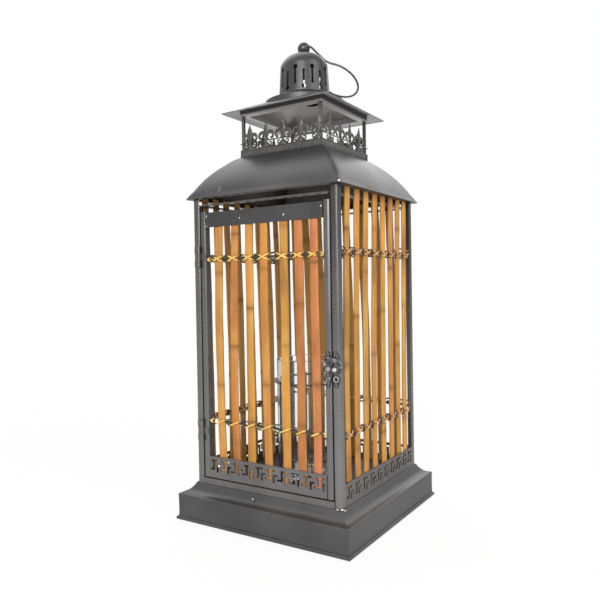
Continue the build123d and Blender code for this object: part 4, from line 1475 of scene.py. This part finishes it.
@dataclass
class Bars:
    """Rolled angle bars of the posts and of the door's stiles, their faces crowned."""
    wall: float = 1.2
    crown: float = 0.9
    side_crown: float = 0.3
    power: float = 2.4
    ripple: float = 0.05
    wave: float = 47.0
    post: float = FACE
    post_leg: float = 7.5
    post_low: float = DECK
    post_high: float = EAVE_Z
    stile: float = DOOR_HALF
    stile_leg: float = 6.8
    stile_depth: float = 7.6
    stile_low: float = DOOR_FOOT
    stile_high: float = 327.7

    def face(self, start: float, length: float, crown: float) -> Array:
        """Outer line of a leg from the bend to its free edge: the way along it and the drop of its crown."""
        way = np.linspace(start, length, 15)
        return joined(way, crown * np.abs(2 * way / length - 1) ** self.power)

    def section(self, one: float, two: float) -> Array:
        """Closed section of an angle whose outer corner is the origin, its legs along both axes."""
        w = self.wall
        front = self.face(self.side_crown, one, self.crown)
        side = self.face(self.crown, two, self.side_crown)
        side[side[:, 0] > two / 2, 1] = 0.0
        return chain(front[::-1], side[:, ::-1], [[w, two], [w, w], [one, w]])

    def bar(self, flat: Array, low: float, high: float) -> Surface:
        """A section carried up between two heights, with a slow ripple and closed ends."""
        points = joined(flat[:, 0], flat[:, 1], np.linspace(low, high, 61)[:, None])
        ripple = self.ripple * wobble(points, self.wave, flat[0, 0])
        return closed(points + ripple[..., None] * np.array([1.0, 1.0, 0.0]))

    def build(self, finish: Palette) -> None:
        """Makes the four posts and the two stiles, each mirrored from one of its kind."""
        angle = self.section(self.post_leg, self.post_leg) * np.array([-1.0, 1.0])
        post = self.bar(angle + np.array([self.post, -self.post]), self.post_low, self.post_high)
        angle = self.section(self.stile_leg, self.stile_depth)
        stile = self.bar(angle + np.array([self.stile, -self.post]), self.stile_low, self.stile_high)
        # the right-hand posts take the shaded copy of the pewter and the rest the lit copy: painted shade and
        # painted light
        for (points, quads), mirror, node, coat in (
                (post, (1, 1, 1), "post_front_right", finish.post),
                (post, (-1, 1, 1), "post_front_left", finish.bar),
                (post, (1, -1, 1), "post_back_right", finish.post),
                (post, (-1, -1, 1), "post_back_left", finish.bar),
                (stile, (1, 1, 1), "door_stile_latch", finish.bar),
                (stile, (-1, 1, 1), "door_stile_hinge", finish.bar)):
            stock = Stock().add(points * np.array(mirror), quads)
            piece = stock.build(node.removeprefix("door_") + "_rolled", crease=50.0)
            settle(piece, coat, node, body=Body.DOOR if node.startswith("door") else Body.FRAME)


@dataclass
class Fret:
    """Fret strip of one wall with a row of Greek keys cut through it."""
    side: Side
    half: float
    low: float
    height: float
    keys: int = 10
    border: float = 3.2
    stroke: float = 2.1
    width: float = 2.7
    front: float = FACE
    back: float = INNER
    slots: tuple = (
        ((-0.14, 0.0), (0.31, 0.0)), ((0.0, 0.0), (0.0, 9.0)), ((-0.34, 9.0), (0.0, 9.0)),
        ((0.32, 5.0), (0.32, 11.2)), ((0.32, 5.0), (0.54, 5.0)))

    def cuts(self) -> Array:
        """Slots of all keys as rows of left, right, foot and head, held inside the strip's ends."""
        pitch = 2 * self.half / self.keys
        ends = np.array(self.slots)
        place = -self.half + (np.arange(self.keys) + 0.45) * pitch
        x = place[:, None, None] + ends[None, :, :, 0] * pitch
        z = np.broadcast_to(self.low + self.height - self.border - ends[None, :, :, 1], x.shape)
        edge = self.width / 2
        rows = joined(x.min(axis=-1) - edge, x.max(axis=-1) + edge, z.min(axis=-1) - self.stroke,
                      z.max(axis=-1)).reshape(-1, 4)
        rows[:, :2] = np.clip(rows[:, :2], -self.half + self.stroke, self.half - self.stroke)
        return rows

    def build(self, finish: Palette) -> None:
        """Makes the strip from the cells between slot edges: solid cells get faces and open sides walls."""
        top = self.low + self.height
        left, right, foot, head = self.cuts().T[..., None]
        x = np.unique(np.round(chain([-self.half, self.half], left[:, 0], right[:, 0]), 4))
        z = np.unique(np.round(chain([self.low, top], foot[:, 0], head[:, 0]), 4))
        mid_x, mid_z = (x[1:] + x[:-1]) / 2, (z[1:] + z[:-1]) / 2
        in_x, in_z = (mid_x > left) & (mid_x < right), (mid_z > foot) & (mid_z < head)
        solid = ~(in_x[:, :, None] & in_z[:, None, :]).any(axis=0)
        padded = np.pad(solid, 1)
        rows, cols = solid.shape
        points = joined(x[:, None], np.array([-self.front, -self.back])[:, None, None], z)
        index = np.arange(points[..., 0].size).reshape(points.shape[:3])

        def quads_at(cells: Array, corners: tuple) -> Array:
            """One quad for each marked cell, through corners of layer, column step and row step."""
            i, j = np.nonzero(cells)
            return np.stack([index[k, i + a, j + b] for k, a, b in corners], axis=-1)

        quads = [quads_at(solid, ((k, 0, 0), (k, 1, 0), (k, 1, 1), (k, 0, 1))) for k in (0, 1)]
        for di, dj, a, b in ((-1, 0, (0, 0), (0, 1)), (1, 0, (1, 0), (1, 1)), (0, -1, (0, 0), (1, 0)),
                             (0, 1, (0, 1), (1, 1))):
            bare = solid & ~padded[1 + di:1 + di + rows, 1 + dj:1 + dj + cols]
            quads.append(quads_at(bare, ((0, *a), (0, *b), (1, *b), (1, *a))))
        used, faces = np.unique(np.concatenate(quads), return_inverse=True)
        stock = Stock().add(self.side.turn(points.reshape(-1, 3)[used]), faces.reshape(-1, 4))
        name = f"{self.side.panel}_fret"
        settle(stock.build(name + "_keys", crease=30.0), finish.fret, name, body=self.side.body)


@dataclass
class GapShadeStrips:
    """Thin strips inside the front posts and on the sill that close the gaps round the door, coloured near
    black as painted shade in those gaps.
    """
    outer: float = 83.5
    inner: float = 76.8
    low: float = 44.6
    high: float = 333.8
    post_y: float = 86.75
    door_y: float = 86.15
    thick: float = 0.7
    sill_z: float = 45.9
    ripple: float = 0.05
    wave: float = 17.0

    def build(self, finish: Palette) -> None:
        """Makes the strips: a slanted flat section run up the posts, with a slow ripple, and a flat one."""
        z = np.linspace(self.low, self.high, 31)[:, None]
        x = np.array([[self.outer, self.inner, self.inner, self.outer]])
        y = np.array([[self.post_y, self.door_y, self.door_y - self.thick, self.post_y - self.thick]])
        points, quads = closed(joined(x, -y + np.abs(self.ripple * np.sin(z / self.wave)), z))
        stock = Stock()
        for mirror in (1.0, -1.0):
            stock.add(points * np.array([mirror, 1.0, 1.0]), quads)
        line = joined(np.array([-self.inner, self.inner]), (self.low + self.sill_z) / 2)
        half = (self.sill_z - self.low) / 2
        stock.add(*ribbon(line, half, self.door_y, self.door_y - self.thick, bevel=0.1))
        # painted shade: the strips take the near-black finish so the gaps read as shadow
        settle(stock.build("door_stops", crease=30.0), finish.shadow)


@dataclass
class SolderSpots:
    """Bright solder and weld spots where the sheets and bars meet: place and half-size of each."""
    frame_spots: tuple = (
        (88.6, -88.6, 39.0, 2.6, 1.8, 1.4), (90.5, -87.0, 38.4, 1.9, 1.5, 0.9),
        (84.0, -89.4, 38.6, 2.2, 1.2, 1.0), (-10.0, -95.0, 34.2, 1.3, 1.2, 1.6),
        (92.6, -92.6, 342.6, 1.6, 1.6, 1.8), (-88.4, -88.4, 38.8, 2.0, 1.6, 1.2),
        (88.6, 88.6, 39.0, 2.2, 1.8, 1.2), (-88.6, 88.6, 38.8, 2.0, 1.8, 1.2),
        (92.6, 92.6, 342.4, 1.5, 1.5, 1.6), (-92.6, -92.6, 342.4, 1.5, 1.5, 1.6),
        (-92.6, 92.6, 342.4, 1.5, 1.5, 1.6))
    door_spots: tuple = (
        (-70.0, -88.1, 322.5, 1.0, 0.3, 1.6), (-26.0, -88.1, 318.0, 0.9, 0.3, 1.1),
        (28.0, -88.1, 317.0, 0.8, 0.3, 1.7), (70.5, -88.1, 322.0, 1.3, 0.3, 1.3),
        (-70.5, -88.1, 312.0, 0.8, 0.3, 1.0))
    share: float = 0.72
    lump: float = 0.22

    def build(self, finish: Palette) -> None:
        """Makes the spots as lumpy drops."""
        a = np.linspace(-math.pi / 2, math.pi / 2, 13)
        profile = joined(np.cos(a), np.sin(a))
        profile[[0, -1], 0] = 0.0
        ball, quads = turned(profile, 20)
        for name, spots, body in (("frame_solder", self.frame_spots, Body.FRAME),
                                  ("door_solder", self.door_spots, Body.DOOR)):
            stock = Stock()
            for i, spot in enumerate(spots):
                drop = ball * (1 + self.lump * wobble(ball * 40, 36.0, 1.0 + i))[..., None]
                stock.add(np.array(spot[:3]) + drop * np.array(spot[3:]) * self.share, quads)
            settle(stock.build(name, crease=60.0), finish.solder, body=body)


@dataclass
class Carried:
    """CAD nodes that keep their shape and take a finish."""
    bars: tuple = (
        "header_front", "header_back", "header_left", "header_right", "gallery_posts", "hinge_post_knuckles",
        "hinge_door_knuckles")

    def build(self, finish: Palette) -> None:
        """Gives each node its finish."""
        for nodes, material in ((self.bars, finish.bar), (("door_top_rail",), finish.metal),
                                (("front_sill",), finish.fret), (("hinge_pins",), finish.wire),
                                (("catch_stud",), finish.solder)):
            for node in nodes:
                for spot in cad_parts[node].material_slots:
                    spot.material = material
                log.info("%s keeps its solid", node)


@dataclass
class Studio:
    """Pale floor, soft light and the camera at the photograph's place, in metres and degrees."""
    focal: float = 37.56
    sensor: float = 36.0
    near: float = 0.01
    place: tuple = (0.3689, -0.5938, 0.2445)
    azimuth: float = 32.58
    pitch: float = 1.01
    roll: float = -0.95
    floor_half: float = 6.0
    floor_z: float = -0.0004
    floor_tone: tuple = (0.9, 0.9, 0.9, 1)
    floor_span: tuple = (0.3, 1.1)
    floor_seen: tuple = (0.88, 1.0)
    floor_lit: float = 0.4
    daylight: float = 0.32
    lamps: tuple = (
        ("right_softbox", (1.35, -0.2, 1.0), (0, 0, 0.25), 1.1, 12.5),
        ("front_softbox", (0.55, -1.7, 0.85), (0, 0, 0.22), 1.0, 27.0),
        ("top_softbox", (-0.7, 0.25, 1.45), (0, 0, 0.3), 1.2, 9.0),
        ("back_softbox", (-0.2, 1.6, 1.15), (0, 0, 0.3), 1.3, 10.0))

    @staticmethod
    def put(name: str, data: bpy.types.ID) -> bpy.types.Object:
        """A new object of the stage, in the scene."""
        held = bpy.data.objects.new(name, data)
        bpy.context.scene.collection.objects.link(held)
        return held

    def camera(self) -> None:
        """Camera from its azimuth, pitch and roll."""
        a, p, r = (math.radians(v) for v in (self.azimuth, self.pitch, self.roll))
        back = Vector((math.sin(a) * math.cos(p), -math.cos(a) * math.cos(p), math.sin(p)))
        right = (-back).cross(Vector((0, 0, 1))).normalized()
        up = right.cross(-back)
        x = right * math.cos(r) + up * math.sin(r)
        y = up * math.cos(r) - right * math.sin(r)
        lens = bpy.data.cameras.new("photo_camera")
        lens.lens = self.focal
        lens.sensor_width = self.sensor
        lens.clip_start = self.near
        held = self.put("photo_camera", lens)
        held.matrix_world = Matrix((x, y, back)).transposed().to_4x4()
        held.location = self.place
        bpy.context.scene.camera = held

    def lamp(self, name: str, place: tuple, target: tuple, size: float, power: float) -> None:
        """Square area lamp that faces a point."""
        light = bpy.data.lights.new(name, "AREA")
        light.size = size
        light.energy = power
        held = self.put(name, light)
        held.location = place
        held.rotation_euler = (Vector(target) - Vector(place)).to_track_quat("-Z", "Y").to_euler()

    def floor(self) -> None:
        """Pale floor that keeps a faint shadow: it glows, a little less near the foot."""
        h, z = self.floor_half, self.floor_z
        mesh = bpy.data.meshes.new("floor")
        mesh.from_pydata([(-h, -h, z), (h, -h, z), (h, h, z), (-h, h, z)], [], [(0, 1, 2, 3)])
        b = Bench(bpy.data.materials.new("pale_floor"))
        b.feed(b.shader, {"Base Color": self.floor_tone, "Roughness": 0.9, "Specular IOR Level": 0.0})
        far = b.node("ShaderNodeVectorMath", {0: b.place}, operation="LENGTH").outputs["Value"]
        seen = b.span(far, *self.floor_span, *self.floor_seen)
        b.blend(b.span(b.watched(), 0.0, 1.0, self.floor_lit, seen), "ShaderNodeEmission", "Material Output")
        mesh.materials.append(b.block)
        held = self.put("floor", mesh)

    def world(self) -> None:
        """Even light that is white to the camera, to gloss and through glass."""
        world = bpy.data.worlds.new("studio")
        bpy.context.scene.world = world
        b = Bench(world, "Background")
        b.feed(b.shader, {"Color": WHITE, "Strength": self.daylight})
        b.blend(b.watched(), "ShaderNodeBackground", "World Output", Color=WHITE, Strength=1.0)

    def build(self) -> None:
        """Sets the whole stage."""
        bpy.context.scene.view_settings.view_transform = "Standard"
        self.camera()
        self.floor()
        self.world()
        for lamp in self.lamps:
            self.lamp(*lamp)


def main() -> None:
    """Builds the stage and every sub-assembly."""
    logging.basicConfig(level=logging.INFO, format="%(name)s: %(message)s")
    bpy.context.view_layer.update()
    Studio().build()
    finish = Palette()
    pieces = [BasePan(), Roof(), Gallery(), Canopy(), Chimney(), Finial(), CandleGlass(), Latch(), Bars(),
              GapShadeStrips(), SolderSpots(), Carried(),
              Fret(Side.FRONT, DOOR_HALF, DOOR_FOOT, height=22.5)]
    pieces += [Fret(side, WALL_HALF, DECK, height=21.8) for side in (Side.RIGHT, Side.BACK, Side.LEFT)]
    pieces.append(SlatPanel(Side.FRONT, DOOR_SLATS, (0.38, 0.72, 0.3, 0.5, 0.28, 0.8, 0.95),
                            DOOR_HALF, foot=47.3, head=325.3, lashings=(277.1, 106.1), end=DOOR_HALF,
                            seed=0.7))
    for side, slats, tones, lashings, seed in (
            (Side.RIGHT, RIGHT_SLATS, (0.18, 0.3, 0.1, 0.35, 0.22, 0.62, 0.12, 0.3), (280.2, 105.2), 2.1),
            (Side.BACK, WALL_SLATS, (0.3, 0.15, 0.5, 0.25, 0.4, 0.2, 0.55, 0.3), (285.2, 110.2), 3.4),
            (Side.LEFT, WALL_SLATS, (0.2, 0.45, 0.3, 0.15, 0.6, 0.35, 0.25, 0.4), (280.2, 105.2), 5.2)):
        pieces.append(SlatPanel(side, slats, tones, WALL_HALF, DECK, head=345.0,
                                lashings=lashings, end=INNER, seed=seed))
    for piece in pieces:
        piece.build(finish)


if __name__ == "__main__":
    main()
